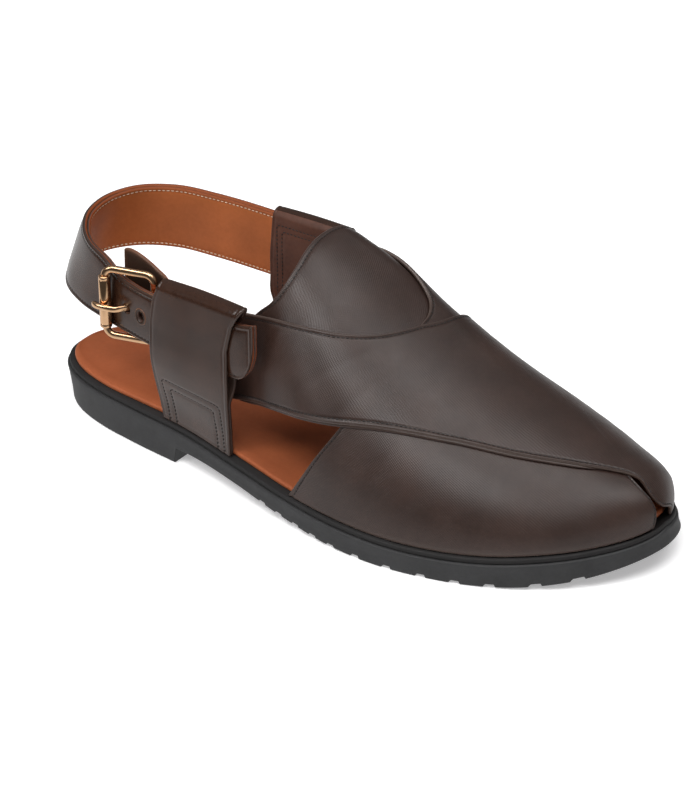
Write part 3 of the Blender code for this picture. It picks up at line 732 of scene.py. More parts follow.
def sew(name: str, seams: Iterable[Seam], tree: bpy.types.NodeTree,
        thread: bpy.types.Material) -> bpy.types.Object:
    """Lays the threads of several seams as one piece.

    Args:
        name: the piece's name.
        seams: the rows of stitches, all of one thread size.
        tree: the stitch tree.
        thread: the thread's material.

    Returns:
        The piece, a plain mesh.
    """
    rows = list(seams)
    middle, along, out = (np.concatenate(part) for part in zip(*(seam.stations() for seam in rows)))
    points = bpy.data.meshes.new(name + " points")
    points.from_pydata((middle - SHIFT).tolist(), [], [])
    for key, values in (("along", along), ("out", out)):
        layer = points.attributes.new(key, "FLOAT_VECTOR", "POINT")
        layer.data.foreach_set("vector", values.astype(np.float32).ravel())
    guide = placed(name + " guide", points)
    lay = guide.modifiers.new("Stitches", "NODES")
    lay.node_group = tree
    for key, value in (("Length", rows[0].length), ("Width", rows[0].width), ("Height", rows[0].height),
                       ("Thread", thread)):
        lay[socket(tree, key)] = value
    graph = bpy.context.evaluated_depsgraph_get()
    mesh = bpy.data.meshes.new_from_object(guide.evaluated_get(graph))
    bpy.data.objects.remove(guide)
    for key in ("along", "out"):
        if key in mesh.attributes:
            mesh.attributes.remove(mesh.attributes[key])
    mesh.name = name
    return placed(name, mesh)


def resample(points: Array, count: int) -> Array:
    """Gives a line's points again at even steps."""
    run = run_length(points)
    return read_line(np.linspace(0, run[-1], count), run, points)


def spline(points: Sequence[Sequence[float]], count: int) -> Array:
    """Runs a smooth line through a few points and samples it evenly."""
    knots = np.array(points, float)
    run = run_length(knots)
    at = np.linspace(0, run[-1], count * 3)
    return resample(np.stack([smooth(run, knots[:, k], at) for k in range(knots.shape[1])], -1), count)


def gap_to(line: Array, points: Array) -> Array:
    """Gives the distance from flat points to a flat line."""
    flat = points.reshape(-1, 2)
    best = np.full(len(flat), np.inf)
    for a, b in zip(line[:-1], line[1:]):
        d = b - a
        t = np.clip(((flat - a) @ d) / (d @ d), 0, 1)
        best = np.minimum(best, np.linalg.norm(flat - a - t[:, None] * d, axis=1))
    return best.reshape(points.shape[:-1])


def creased(last: Last, points: Array, w: Array, girth: Array, clear: Array) -> Array:
    """Gives how deep the listed creases press in at points of the bands."""
    press = np.zeros(points.shape[:-1])
    for k in range(len(CREASES["share"])):
        row = {name: CREASES[name][k] for name in CREASES}
        at = np.array([warp(row["share"])]), np.array([row["girth"]])
        middle = last.at(*at)[0]
        along = unit(last.at(at[0] + 0.01, at[1])[0] - middle)
        across = unit(last.at(at[0], at[1] + 0.01)[0] - middle)
        turn = math.radians(row["turn"])
        run = along * math.cos(turn) + across * math.sin(turn)
        side = across * math.cos(turn) - along * math.sin(turn)
        away = points - middle
        bend = (away @ run) ** 2 * 0.006 / MM
        u, v = away @ run / row["long"], (away @ side + bend * 0.4) / row["wide"]
        press += CREASE_STRENGTH * row["deep"] * np.exp(-(u * u) * 2 - v * v)
    return press * ease(clear / (6 * MM))


@dataclass
class Band:
    """A sheet of leather on the last, between two edges, with its seams."""

    name: str
    first: dict[str, Array]
    second: dict[str, Array]
    wall: float
    lift: Callable[[Array, Array], Array]
    step: float = 1.5 * MM
    seam_first: float = 1.9 * MM
    seam_second: float = 2.2 * MM

    def place(self, last: Last) -> None:
        """Lays the two edge lines and measures the sheet."""
        self.last = last
        self.lines = last.line(self.first), last.line(self.second)
        run = [run_length(last.at(line[:, 0], line[:, 1]))[-1] for line in self.lines]
        self.length = sum(run) / 2
        shares, gaps = graded(np.array([self.length]), self.step)
        self.a, self.end_gap = shares[0], gaps[0]
        self.edges = tuple(pick(line, self.a) for line in self.lines)
        t = np.linspace(0, 1, 25)[None, :, None]
        ruled = self.edges[0][:, None] * (1 - t) + self.edges[1][:, None] * t
        probe = last.at(ruled[..., 0], ruled[..., 1])
        self.width = np.linalg.norm(np.diff(probe, axis=1), axis=2).sum(axis=1)

    def surface(self, b: Array, extra: Array | float = 0.0) -> tuple[Array, Array, Array]:
        """Gives points at shares b across the sheet, with their places on the last."""
        ruled = self.edges[0][:, None] * (1 - b[..., None]) + self.edges[1][:, None] * b[..., None]
        w, girth = ruled[..., 0], ruled[..., 1]
        return self.last.at(w, girth, self.lift(w, girth) + extra), w, girth

    def seam(self, second: bool, inset: float) -> Seam:
        """Runs a dark seam beside one edge."""
        gap = inset / self.width
        b = (1 - gap if second else gap)[:, None]
        low, _, _ = self.surface(b, -0.08 * MM)
        high, _, _ = self.surface(b, 1 * MM)
        keep = self.end_gap > 1.5 * MM
        return Seam(low[keep, 0], unit(high - low)[keep, 0], Thread.DARK)

    def build(self, finishes: Sequence[bpy.types.Material]) -> bpy.types.Object:
        """Makes the closed sheet: outer face, lining and rolled edges."""
        b, gap = graded(self.width, self.step)
        gap = np.minimum(gap, self.end_gap[:, None])
        base, w, girth = self.surface(b)
        press = creased(self.last, base, w, girth, gap)
        first_gap = b * self.width[:, None]
        second_gap = (1 - b) * self.width[:, None]
        ripple = 0.5 + 0.5 * np.cos(2 * np.pi * self.a * self.length / STITCH_PITCH)[:, None]
        groove = seam_groove(first_gap, self.seam_first, 0.26 * MM)
        groove = (groove + seam_groove(second_gap, self.seam_second, 0.30 * MM)) * (0.8 + 0.3 * ripple)
        roll = rolled(gap, self.wall)
        outer, _, _ = self.surface(b, -press - groove - roll)
        inner, _, _ = self.surface(b, -self.wall - press * 0.6 + roll)
        mesh = Mesh(self.name)
        mesh.shell(outer, inner, flat_place(base), cut_edge(gap), (0, 1, 0))
        return mesh.object(finishes)


def lateral_lift(w: Array, girth: Array) -> Array:
    """Raises the top band a step where it lies on the other one."""
    share = share_at(w)
    lift = ease((share - 0.47) / 0.11) * (1 - ease((girth - 0.84) / 0.13))
    return (BAND_STEP + 0.35 * MM) * lift * (1 - 0.8 * ease((share - 0.955) / 0.035))


def flat_lift(w: Array, girth: Array) -> Array:
    """Leaves a band on the last's surface."""
    return 0.0 * w


def tongue_lift(w: Array, girth: Array) -> Array:
    """Keeps the tongue under the bands and lets its free rear edge stand up a little."""
    return -(BAND_WALL + 0.25 * MM) + 0.35 * MM * (1 - ease((share_at(w) - 0.46) / 0.03))


class StrapPath:
    """The heel strap's way round the heel, read by distance or by x on one side."""

    def __init__(self, count: int = 900) -> None:
        rows = HEEL_STRAP
        flat = np.stack([rows["along"] * SOLE_LENGTH, rows["across"] * BALL_WIDTH], -1)
        run = run_length(flat)
        self.at = np.linspace(0, run[-1], count)
        self.middle = np.stack([smooth(run, flat[:, k], self.at) for k in (0, 1)], -1)
        along = unit(np.gradient(self.middle, axis=0))
        self.out = np.stack([along[:, 1], -along[:, 0]], -1)
        self.lean = smooth(run, rows["lean"], self.at) * 1.8 * MM
        self.low = smooth(run, rows["low"], self.at) * STRAP_TOP
        self.high = smooth(run, rows["high"], self.at) * STRAP_TOP
        self.length = run_length(self.middle)[-1]

    def read(self, values: Array, share: Array) -> Array:
        """Reads one of the path's values at shares of the way."""
        return np.interp(share * self.at[-1], self.at, values)

    def tall(self, share: Array) -> Array:
        """Gives how far the strap's edges stand apart in height at shares of the way."""
        return self.read(self.high, share) - self.read(self.low, share)

    def spot(self, x: float, rise: float = 0.5) -> tuple[float, float]:
        """Gives place across and height at one x on the lateral side."""
        y, z = self.on_side(np.array([x]), -1, rise)
        return float(y[0]), float(z[0])

    def grid(self, share: Array, rise: Array, offset: Array | float) -> Array:
        """Gives points of the strap.

        Args:
            share: shares of the way from the medial end to the lateral tip, one for each station.
            rise: shares of the strap's height, a row for each station.
            offset: distance out from the strap's middle, by point.
        """
        middle, out = (read_line(share * self.at[-1], self.at, v) for v in (self.middle, self.out))
        out = unit(out)
        lean, low, high = (self.read(v, share)[:, None] for v in (self.lean, self.low, self.high))
        z = low * (1 - rise) + high * rise
        tilt = np.arctan2(2 * lean, high - low)
        reach = lean * (1 - 2 * rise) + offset * np.cos(tilt)
        flat = middle[:, None] + out[:, None] * reach[..., None]
        return np.concatenate([flat, (z + offset * np.sin(tilt))[..., None]], -1)

    def on_side(self, x: Array, side: int, share: float = 0.5) -> tuple[Array, Array]:
        """Gives place across and height at x on one side, share 0 at the low edge, 1 at the high."""
        keep = self.middle[:, 1] * side > BALL_WIDTH * 0.2
        y = (self.middle[:, 1] + self.out[:, 1] * self.lean * (1 - 2 * share))[keep]
        z = (self.low * (1 - share) + self.high * share)[keep]
        along = self.middle[keep, 0]
        order = np.argsort(along)
        return np.interp(x, along[order], y[order]), np.interp(x, along[order], z[order])


ROLLER_X = 0.162 * SOLE_LENGTH
FRAME_LENGTH = 22 * MM
BAR_X = ROLLER_X + FRAME_LENGTH
PRONG_HOLE = ROLLER_X + 0.48 * FRAME_LENGTH
SPARE_HOLE = PRONG_HOLE + 8.4 * MM
QUARTER_REAR = BAR_X + 3.0 * MM
QUARTER_WIDTH = 43 * MM
LOOP_HEIGHT = 66 * MM
FLAP_LENGTH = 51 * MM
STRAP_OUTER, STRAP_LINING = 2.1 * MM, 1.3 * MM


@dataclass
class HeelStrap:
    """The strap round the heel: an outer leather, a stitched tan lining and two holes."""

    path: StrapPath
    step: float = 1.6 * MM
    seam_inset: float = 1.9 * MM
    tip_long: float = 9.5 * MM
    tip_drop: float = 17.0 * MM
    tip_flare: float = 1.2 * MM

    def layer(self, name: str, inside: float, outside: float, swell: float, inset: float,
              finishes: Sequence[bpy.types.Material], slots: Sequence[int]) -> bpy.types.Object:
        """Makes one layer of the strap.

        Args:
            name: the piece's name.
            inside: where its inner face lies, measured out from the strap's middle.
            outside: where its outer face lies.
            swell: how far the outer face is padded between its seams.
            inset: how far its edges stay inside the strap's edges.
            finishes: materials.
            slots: material slots of the outer face, the inner face and the rim.
        """
        shares, ends = graded(np.array([self.path.length]), self.step)
        share, end_gap = shares[0], ends[0]
        tall = np.hypot(self.path.tall(share), 2 * self.path.read(self.path.lean, share))
        tip = np.clip(1 - (1 - share) * self.path.length / self.tip_long, 0, 1)
        cut_low = self.tip_drop * (1 - np.sqrt(1 - tip ** 2)) + inset
        cut_high = inset - self.tip_flare * tip ** 2
        rows, gap = graded(tall - cut_low - cut_high, 1.4 * MM)
        rise = (cut_low[:, None] + rows * (tall - cut_low - cut_high)[:, None]) / tall[:, None]
        gap = np.minimum(gap, end_gap[:, None])
        wall = outside - inside
        roll = rolled(gap, wall)
        puff = swell * ease(gap / (7 * MM)) - seam_groove(gap, self.seam_inset, 0.16 * MM)
        is_outer = slots[0] == 0
        face = puff if is_outer else 0 * gap
        back = 0 * gap if is_outer else puff
        outer = self.path.grid(share, rise, outside + face - roll)
        inner = self.path.grid(share, rise, inside - back + roll)
        mesh = Mesh(name)
        mesh.shell(outer, inner, flat_place(outer), cut_edge(gap), slots)
        return mesh.object(finishes)

    def seam(self, low: bool, offset: float, thread: Thread) -> Seam:
        """Runs a seam along one edge of one face."""
        share = np.linspace(0.02, 0.965, 400)
        gap = (self.seam_inset / self.path.tall(share))[:, None]
        rise = gap if low else 1 - gap
        points = self.path.grid(share, rise, offset)[:, 0]
        beyond = self.path.grid(share, rise, offset + math.copysign(1 * MM, offset))[:, 0]
        return Seam(points, unit(beyond - points), thread, pitch=1.95 * MM, width=0.5 * MM)


# How far a quarter loop's edges lie from their plain places by height on each side, as shares of its
# width, how high its fold's crest lies, and how far the crest rises to the front
QUARTER_EDGES = {
    -1: table("height rear front", [
        (0.00, 0.012, -0.049),
        (0.10, -0.005, -0.047),
        (0.22, -0.005, -0.028),
        (0.48, 0.000, 0.005),
        (0.72, 0.009, 0.005),
        (0.88, 0.056, 0.079),
        (1.00, 0.144, 0.200),
    ]),
    1: table("height rear front", [
        (0.00, 0.153, 0.084),
        (0.22, 0.135, 0.051),
        (0.48, 0.135, 0.042),
        (0.72, 0.144, 0.042),
        (0.88, 0.167, 0.060),
        (1.00, 0.186, 0.088),
    ]),
}
# The sewn lines of each loop: whether on the foot's side, insets from the rear and front edges and
# the height of the line across, in millimetres
SEWN_LINES = {
    -1: ((False, 4.4, 5.4, 22.0), (False, 8.4, 9.4, 18.4), (True, 3.0, 3.0, 58.5), (True, 7.5, 7.5, 52.0)),
    1: ((False, 8.2, 1.0, 59.0), (False, 12.2, 4.6, 53.0), (True, 10.2, 2.2, 60.5), (True, 12.8, 4.8, 58.0)),
}
QUARTER_CREST = {-1: 1.036 * STRAP_TOP, 1: 1.069 * STRAP_TOP}
CREST_RISE = {-1: 0.021 * STRAP_TOP, 1: 0.0}


@dataclass
class QuarterStrap:
    """A loop of leather from the sole up round the heel strap and down again on the foot's side."""

    path: StrapPath
    side: int
    layer: float = 1.45 * MM
    fold_at: int = 0

    def reach(self, height: Array) -> tuple[Array, Array]:
        """Gives where the loop's rear and front edges lie at shares of its height."""
        rows = QUARTER_EDGES[self.side]
        rear, front = (np.interp(height, rows["height"], rows[k]) * QUARTER_WIDTH for k in ("rear", "front"))
        return QUARTER_REAR + rear, QUARTER_REAR + QUARTER_WIDTH + front

    def stations(self) -> tuple[Array, Array, Array]:
        """Gives the loop's stations: share of height, 0 outside to 1 inside, and place along."""
        depth = (STRAP_OUTER + STRAP_LINING + 1.4 * MM + self.layer)
        rise = depth / 2 / (QUARTER_CREST[self.side] - 16 * MM) * 1.1
        up = np.concatenate([np.array([0, 0.05, 0.16, 0.34, 0.6, 0.9, 1.3]) * MM / LOOP_HEIGHT,
                             np.linspace(0.028, 1 - rise, 76)])
        turn = np.linspace(0, np.pi, 27)[1:-1]
        fold = 1 - rise + rise * np.sin(turn)
        inside = np.concatenate([np.zeros(len(up)), (1 - np.cos(turn)) / 2, np.ones(len(up))])
        height = np.concatenate([up, fold, up[::-1]])
        self.fold_at = len(up) + 9
        end = np.concatenate([up * LOOP_HEIGHT, fold * 0 + 1, up[::-1] * LOOP_HEIGHT])
        return height, inside, end

    def middle(self, height: Array, inside: Array, across: Array) -> Array:
        """Gives points on the middle of the leather.

        Args:
            height: share of the loop's height at each station.
            inside: 0 on the outer side to 1 on the foot's side, at each station.
            across: shares of the width, a row for each station.
        """
        rear, front = self.reach(height)
        x = rear[:, None] * (1 - across) + front[:, None] * across
        w = warp(x / SOLE_LENGTH)
        foot = outline(w, self.side, UPPER_INSET)[..., 1]
        foot_z = sole_top(w) + UPPER_BASE
        level = np.minimum(height, 1)
        belt_share = smooth(QUARTER["height"], QUARTER["belt"], level)[:, None]
        open_share = np.clip(smooth(QUARTER["height"], QUARTER["open"], level), 0, 1)[:, None]
        room = STRAP_OUTER + STRAP_LINING + 0.9 * MM
        y_strap, _ = self.path.on_side(x, self.side)
        face = y_strap + self.side * (room / 2 + self.layer)
        outer = foot + (face - foot) * belt_share - self.side * self.layer / 2
        gap = self.layer + 0.12 * MM + room * open_share
        y = outer - self.side * gap * inside[:, None]
        z = foot_z + (QUARTER_CREST[self.side] - self.layer / 2 - foot_z) * height[:, None]
        z += CREST_RISE[self.side] * across * ease((height[:, None] - 0.5) / 0.5)
        return np.stack([x, y, z], -1)

    def build(self, name: str, finishes: Sequence[bpy.types.Material],
              marks: Sequence[tuple[bool, Array]]) -> bpy.types.Object:
        """Makes the loop.

        Args:
            name: the piece's name.
            finishes: outer leather and foot-side leather.
            marks: pressed lines as (on the foot's side, points of (x, height share)).
        """
        height, inside, end = self.stations()
        rows, gap = graded(np.full(len(height), QUARTER_WIDTH), 1.1 * MM)
        gap = np.minimum(gap, end[:, None])
        middle = self.middle(height, inside, rows)
        normal = unit(np.cross(np.gradient(middle, axis=0), np.gradient(middle, axis=1))) * self.side
        roll = rolled(gap, self.layer)
        flat = np.stack([middle[..., 0], np.broadcast_to(height[:, None], rows.shape) * LOOP_HEIGHT], -1)
        press = np.zeros(rows.shape)
        for foot_side, line in marks:
            near = gap_to(line * [1, LOOP_HEIGHT], flat)
            on_face = (inside > 0.5 if foot_side else inside <= 0.5)[:, None]
            press += 0.30 * MM * np.exp(-((near / (0.5 * MM)) ** 2)) * on_face
        press += seam_groove(gap, 1.7 * MM, 0.14 * MM)
        bow = 0.35 * MM * np.sin(np.pi * rows) * ease((height[:, None] - 0.1) / 0.3)
        outer = middle + normal * (self.layer / 2 - roll - press + bow)[..., None]
        inner = middle - normal * (self.layer / 2 - roll)[..., None]
        mesh = Mesh(name)
        mesh.shell(outer, inner, flat_place(middle), cut_edge(gap), (0, 2, 0))
        piece = mesh.object(finishes, 50)
        outer_faces = (outer.shape[0] - 1) * (outer.shape[1] - 1)
        columns = outer.shape[1] - 1
        fold = np.zeros(len(piece.data.polygons), np.int32)
        piece.data.polygons.foreach_get("material_index", fold)
        fold[(self.fold_at + 8) * columns:outer_faces] = 1
        piece.data.polygons.foreach_set("material_index", fold)
        return piece

    def seam(self, line: Array, foot_side: bool) -> Seam:
        """Runs a dark seam on one face.

        Args:
            line: points of (x, height share).
            foot_side: whether it lies on the foot's side.
        """
        fine = resample(line * [1, LOOP_HEIGHT], 240) / [1, LOOP_HEIGHT]
        rear, front = self.reach(fine[:, 1])
        across = ((fine[:, 0] - rear) / (front - rear))[:, None]
        inside = np.full(len(fine), float(foot_side))
        points = self.middle(fine[:, 1], inside, across)[:, 0]
        out = np.array([0, self.side * (-1 if foot_side else 1), 0.0])
        points = points + out * (self.layer / 2 + 0.06 * MM)
        return Seam(points, np.tile(out, (len(points), 1)), Thread.DARK)


GUARD_FLAP = table("along low high off", [
    (1.37, 0.640, 0.940, 0.0),
    (0.95, 0.635, 0.950, 0.0),
    (0.49, 0.625, 0.965, 0.2),
    (0.09, 0.605, 0.990, 1.0),
    (-0.24, 0.580, 1.020, 1.0),
    (-0.61, 0.560, 1.045, 0.9),
    (-0.96, 0.555, 1.045, 0.8),
])


def guard_flap(path: StrapPath, finishes: Sequence[bpy.types.Material]) -> bpy.types.Object:
    """Makes the flap between foot and buckle: dark leather outside, tan on the foot's side."""
    knots = np.linspace(0, 1, len(GUARD_FLAP["along"]))
    shares, ends = graded(np.array([FLAP_LENGTH]), 1.2 * MM)
    share, end_gap = shares[0], ends[0]
    along, low, high, off = (smooth(knots, GUARD_FLAP[k], share) for k in ("along", "low", "high", "off"))
    x = BAR_X + along * FRAME_LENGTH
    y = path.on_side(x, -1)[0] + 4.3 * MM + np.clip(off, 0, 1) * 3.4 * MM
    corner = 6 * MM
    last_bit = np.clip(1 - (1 - share) * FLAP_LENGTH / corner, 0, 1)
    low = low * STRAP_TOP + 5 * MM * (1 - np.sqrt(1 - last_bit ** 2))
    high = high * STRAP_TOP - 1.5 * MM * (1 - np.sqrt(1 - last_bit ** 2))
    rows, gap = graded(high - low, 1.3 * MM)
    gap = np.minimum(gap, end_gap[:, None])
    z = low[:, None] + rows * (high - low)[:, None]
    wall = 1.8 * MM
    roll = rolled(gap, wall)
    swell = 0.3 * MM * np.sin(np.pi * rows) - seam_groove(gap, 1.7 * MM, 0.14 * MM)
    mesh = Mesh("guard_flap_leather")
    outer = np.stack([x[:, None] + 0 * z, y[:, None] + roll - swell, z], -1)
    inner = np.stack([x[:, None] + 0 * z, y[:, None] + wall - roll, z], -1)
    mesh.shell(outer, inner, flat_place(outer), cut_edge(gap), (0, 1, 0))
    return mesh.object(finishes)


@dataclass
class Buckle:
    """The brass buckle, fastened: a wire frame, a sleeve on its outer bar and a prong."""

    path: StrapPath
    wire: float = 1.45 * MM
    corner: float = 4.2 * MM
    roller: float = 2.55 * MM

    def places(self) -> None:
        """Works out the roller's, the bar's and the rails' places from the strap."""
        half = (STRAP_OUTER + STRAP_LINING) / 2
        self.roller_y = self.path.spot(ROLLER_X, 0.0)[0] - half - 0.3 * MM - self.roller
        self.bar_y = self.path.spot(BAR_X)[0] + half + 2.9 * MM
        self.low = min(self.path.spot(x, 0.0)[1] for x in (ROLLER_X, BAR_X)) - 0.4 * MM - self.wire
        self.high = self.path.spot(ROLLER_X + 5 * MM, 1.0)[1] + 2.4 * MM + self.wire
        self.middle_z = self.path.spot(PRONG_HOLE)[1]

    def frame(self, brass: bpy.types.Material) -> bpy.types.Object:
        """Makes the frame's wire, a little flattened on its face."""
        long = math.hypot(FRAME_LENGTH, self.bar_y - self.roller_y)
        flat = []
        for u, z, start in ((0, self.low, 180), (long, self.low, 270),
                            (long, self.high, 0), (0, self.high, 90)):
            cu = u + self.corner * (1 if u == 0 else -1)
            cz = z + self.corner * (1 if z == self.low else -1)
            for turn in np.radians(start + np.linspace(0, 90, 13)):
                flat.append((cu + self.corner * math.cos(turn), cz + self.corner * math.sin(turn)))
        closed = np.array(flat + flat[:1])
        line = resample(closed, 181)[:-1]
        along = unit(np.roll(line, -1, axis=0) - np.roll(line, 1, axis=0))
        side = np.stack([along[:, 1], -along[:, 0]], -1)
        run = np.array([FRAME_LENGTH, self.bar_y - self.roller_y, 0]) / long
        face = np.array([run[1], -run[0], 0])
        turn = turns(20)
        circle = np.stack([np.cos(turn), np.sin(turn)])
        round_it = np.sign(circle) * np.abs(circle) ** 0.75 * self.wire
        centre = np.array([ROLLER_X, self.roller_y, 0])
        rings = centre + line[:, :1, None] * run + line[:, 1:, None] * np.array([0, 0, 1.0])
        spread = side[:, None, :1] * run + side[:, None, 1:] * np.array([0, 0, 1.0])
        rings = rings + spread * round_it[0][None, :, None] * 1.06 + face * round_it[1][None, :, None] * 0.94
        return tube("buckle_frame_wire", rings, brass)

    def turned(self, name: str, x: float, y: float, profile: Sequence[tuple[float, float]],
               brass: bpy.types.Material) -> bpy.types.Object:
        """Makes an upright turned piece from (radius, height) rows that form a loop."""
        turn = turns(40)
        ring = np.stack([np.cos(turn), np.sin(turn)], -1)
        rings = np.array([np.column_stack([ring * r + [x, y], 0 * turn + z]) for r, z in profile])
        return tube(name, rings, brass, 50)

    def sleeve(self, brass: bpy.types.Material) -> bpy.types.Object:
        """Makes the roller, rolled from sheet: rounded ends and a fine line near each end."""
        low, high = self.low + self.wire + 2.1 * MM, self.high - self.wire - 2.1 * MM
        r, bore, brk = self.roller, self.wire * 1.06 + 0.12 * MM, 0.35 * MM
        nick = 0.12 * MM
        profile = [(r - brk, low), (r - 0.1 * MM, low + 0.12 * MM), (r, low + brk)]
        for at in (low + 1.6 * MM, high - 1.6 * MM):
            profile += [(r, at - 0.25 * MM), (r - nick, at), (r, at + 0.25 * MM)]
        profile += [(r, high - brk), (r - 0.1 * MM, high - 0.12 * MM), (r - brk, high), (bore, high)]
        profile += [(bore, low)]
        return self.turned("buckle_roller_sleeve", ROLLER_X, self.roller_y, profile, brass)

    def prong(self, brass: bpy.types.Material) -> bpy.types.Object:
        """Makes the prong: off the bar, out through its hole and over the roller."""
        half = (STRAP_OUTER + STRAP_LINING) / 2
        y_in = self.path.spot(PRONG_HOLE)[0] + half + 1.4 * MM
        y_out = self.roller_y - self.roller - 1.15 * MM
        line = spline([
            (BAR_X - 2.2 * MM, y_in + 0.5 * MM),
            (PRONG_HOLE + 3.8 * MM, y_in + 0.1 * MM),
            (PRONG_HOLE + 1.5 * MM, y_in - 1.0 * MM),
            (PRONG_HOLE + 0.3 * MM, y_in - 2.6 * MM),
            (PRONG_HOLE - 1.2 * MM, y_in - 5.0 * MM),
            (PRONG_HOLE - 3.6 * MM, (5 * y_out + y_in) / 6),
            (ROLLER_X + 1.5 * MM, y_out),
            (ROLLER_X - 2.6 * MM, y_out + 0.1 * MM),
            (ROLLER_X - 4.6 * MM, y_out + 1.0 * MM),
        ], 110)
        along = unit(np.gradient(line, axis=0))
        side = np.stack([along[:, 1], -along[:, 0]], -1)
        t = np.linspace(0, 1, len(line))
        tip = np.sqrt(np.clip(1 - ((t - 0.94) / 0.06).clip(0, 1) ** 2, 0.015, 1))
        start = np.sqrt(np.clip(1 - ((0.03 - t) / 0.03).clip(0, 1) ** 2, 0.05, 1))
        tall = (1.45 - 0.15 * t) * MM * tip * start
        thick = (1.15 - 0.15 * t) * MM * tip * start
        turn = turns(16)
        circle = np.stack([np.cos(turn), np.sin(turn)])
        shape = np.sign(circle) * np.abs(circle) ** 0.7
        rings = np.zeros((len(line), 16, 3))
        rings[..., :2] = line[:, None] + side[:, None] * (shape[0] * thick[:, None])[..., None]
        rings[..., 2] = self.middle_z + shape[1] * tall[:, None]
        return tube("buckle_prong_bar", rings, brass, caps=True)

    def ring(self, brass: bpy.types.Material) -> bpy.types.Object:
        """Makes the prong's eye round the inner bar."""
        bore, r, tall = self.wire * 1.06 + 0.12 * MM, self.wire + 1.0 * MM, 1.6 * MM
        profile = [(r - 0.3 * MM, -tall), (r, 0.3 * MM - tall), (r, tall - 0.3 * MM), (r - 0.3 * MM, tall)]
        profile += [(bore, tall), (bore, -tall)]
        profile = [(a, self.middle_z + b) for a, b in profile]
        return self.turned("buckle_prong_eye", BAR_X, self.bar_y, profile, brass)


# Shares of the length at the middle of each groove across the tread, closer in the waist
GROOVES = np.array([0.462, 0.495, 0.528, 0.561, 0.594, 0.637, 0.688, 0.739, 0.786, 0.831, 0.885, 0.930])


def plate_mesh(name: str, w: Array, levels: Sequence[tuple[Array, Array]],
               slots: Sequence[int]) -> Mesh:
    """Collects the closed solid inside the outsole's outline.

    Args:
        name: the piece's name.
        w: warped shares of the length, from 0 to 1.
        levels: (inset, height) along w from the bottom up.
        slots: material slots of the bottom, the sides and the top.
    """
    last = len(w) - 1
    rings = []
    for inset, height in levels:
        lateral = np.column_stack([outline(w, -1, inset), height])
        medial = np.column_stack([outline(w, 1, inset), height])
        rings.append(np.concatenate([lateral, medial[last - 1:0:-1]]))
    block = np.array(rings)
    size = block.shape[1]
    mesh = Mesh(name)
    edge = np.zeros(block.shape[:2])
    first = mesh.add(block, block[..., :2], edge)
    for level in range(len(rings) - 1):
        low, high = first + level * size, first + (level + 1) * size
        for k in range(size):
            after = (k + 1) % size
            mesh.quad([low + k, low + after, high + after, high + k], slots[1])
    across = np.linspace(0, 1, 15)[1:-1]
    for start, slot, level in ((0, slots[0], 0), ((len(rings) - 1) * size, slots[2], len(rings) - 1)):
        lateral = block[level, 1:last]
        medial = block[level, :last:-1][:last - 1]
        inner = lateral[:, None] * (1 - across[:, None]) + medial[:, None] * across[:, None]
        # Inner points of the top and bottom faces get an edge value that grows towards the outline and fades
        # out over about 5 mm; of the plates, only the footbed's finish darkens by it.
        gap = np.minimum(across, 1 - across) * np.linalg.norm(medial - lateral, axis=1)[:, None]
        ends = np.minimum(w[1:last], 1 - w[1:last])[:, None] * SOLE_LENGTH * 1.2
        fade = np.exp(-np.minimum(gap, ends) / (5 * MM))
        base = mesh.add(inner, inner[..., :2], fade)
        count = len(across)
        grid = np.empty((last - 1, count + 2), int)
        grid[:, 0] = first + start + np.arange(1, last)
        grid[:, -1] = first + start + size - np.arange(1, last)
        grid[:, 1:-1] = base + np.arange((last - 1) * count).reshape(last - 1, count)
        for i in range(last - 2):
            for j in range(count + 1):
                mesh.quad([grid[i, j], grid[i + 1, j], grid[i + 1, j + 1], grid[i, j + 1]], slot)
        for end, row in ((first + start, grid[0]), (first + start + last, grid[-1])):
            for j in range(count + 1):
                mesh.quad([end, row[j], row[j + 1]], slot)
    return mesh


def stations(extra: Sequence[float], count: int) -> Array:
    """Gives warped shares along the sole with the extra shares among them."""
    even = np.linspace(0, 1, count)
    more = warp(np.array(extra)) if len(extra) else np.zeros(0)
    kept = [v for v in even if v in (0, 1) or not len(more) or np.abs(more - v).min() > 0.25 / count]
    return np.sort(np.concatenate([kept, more]))


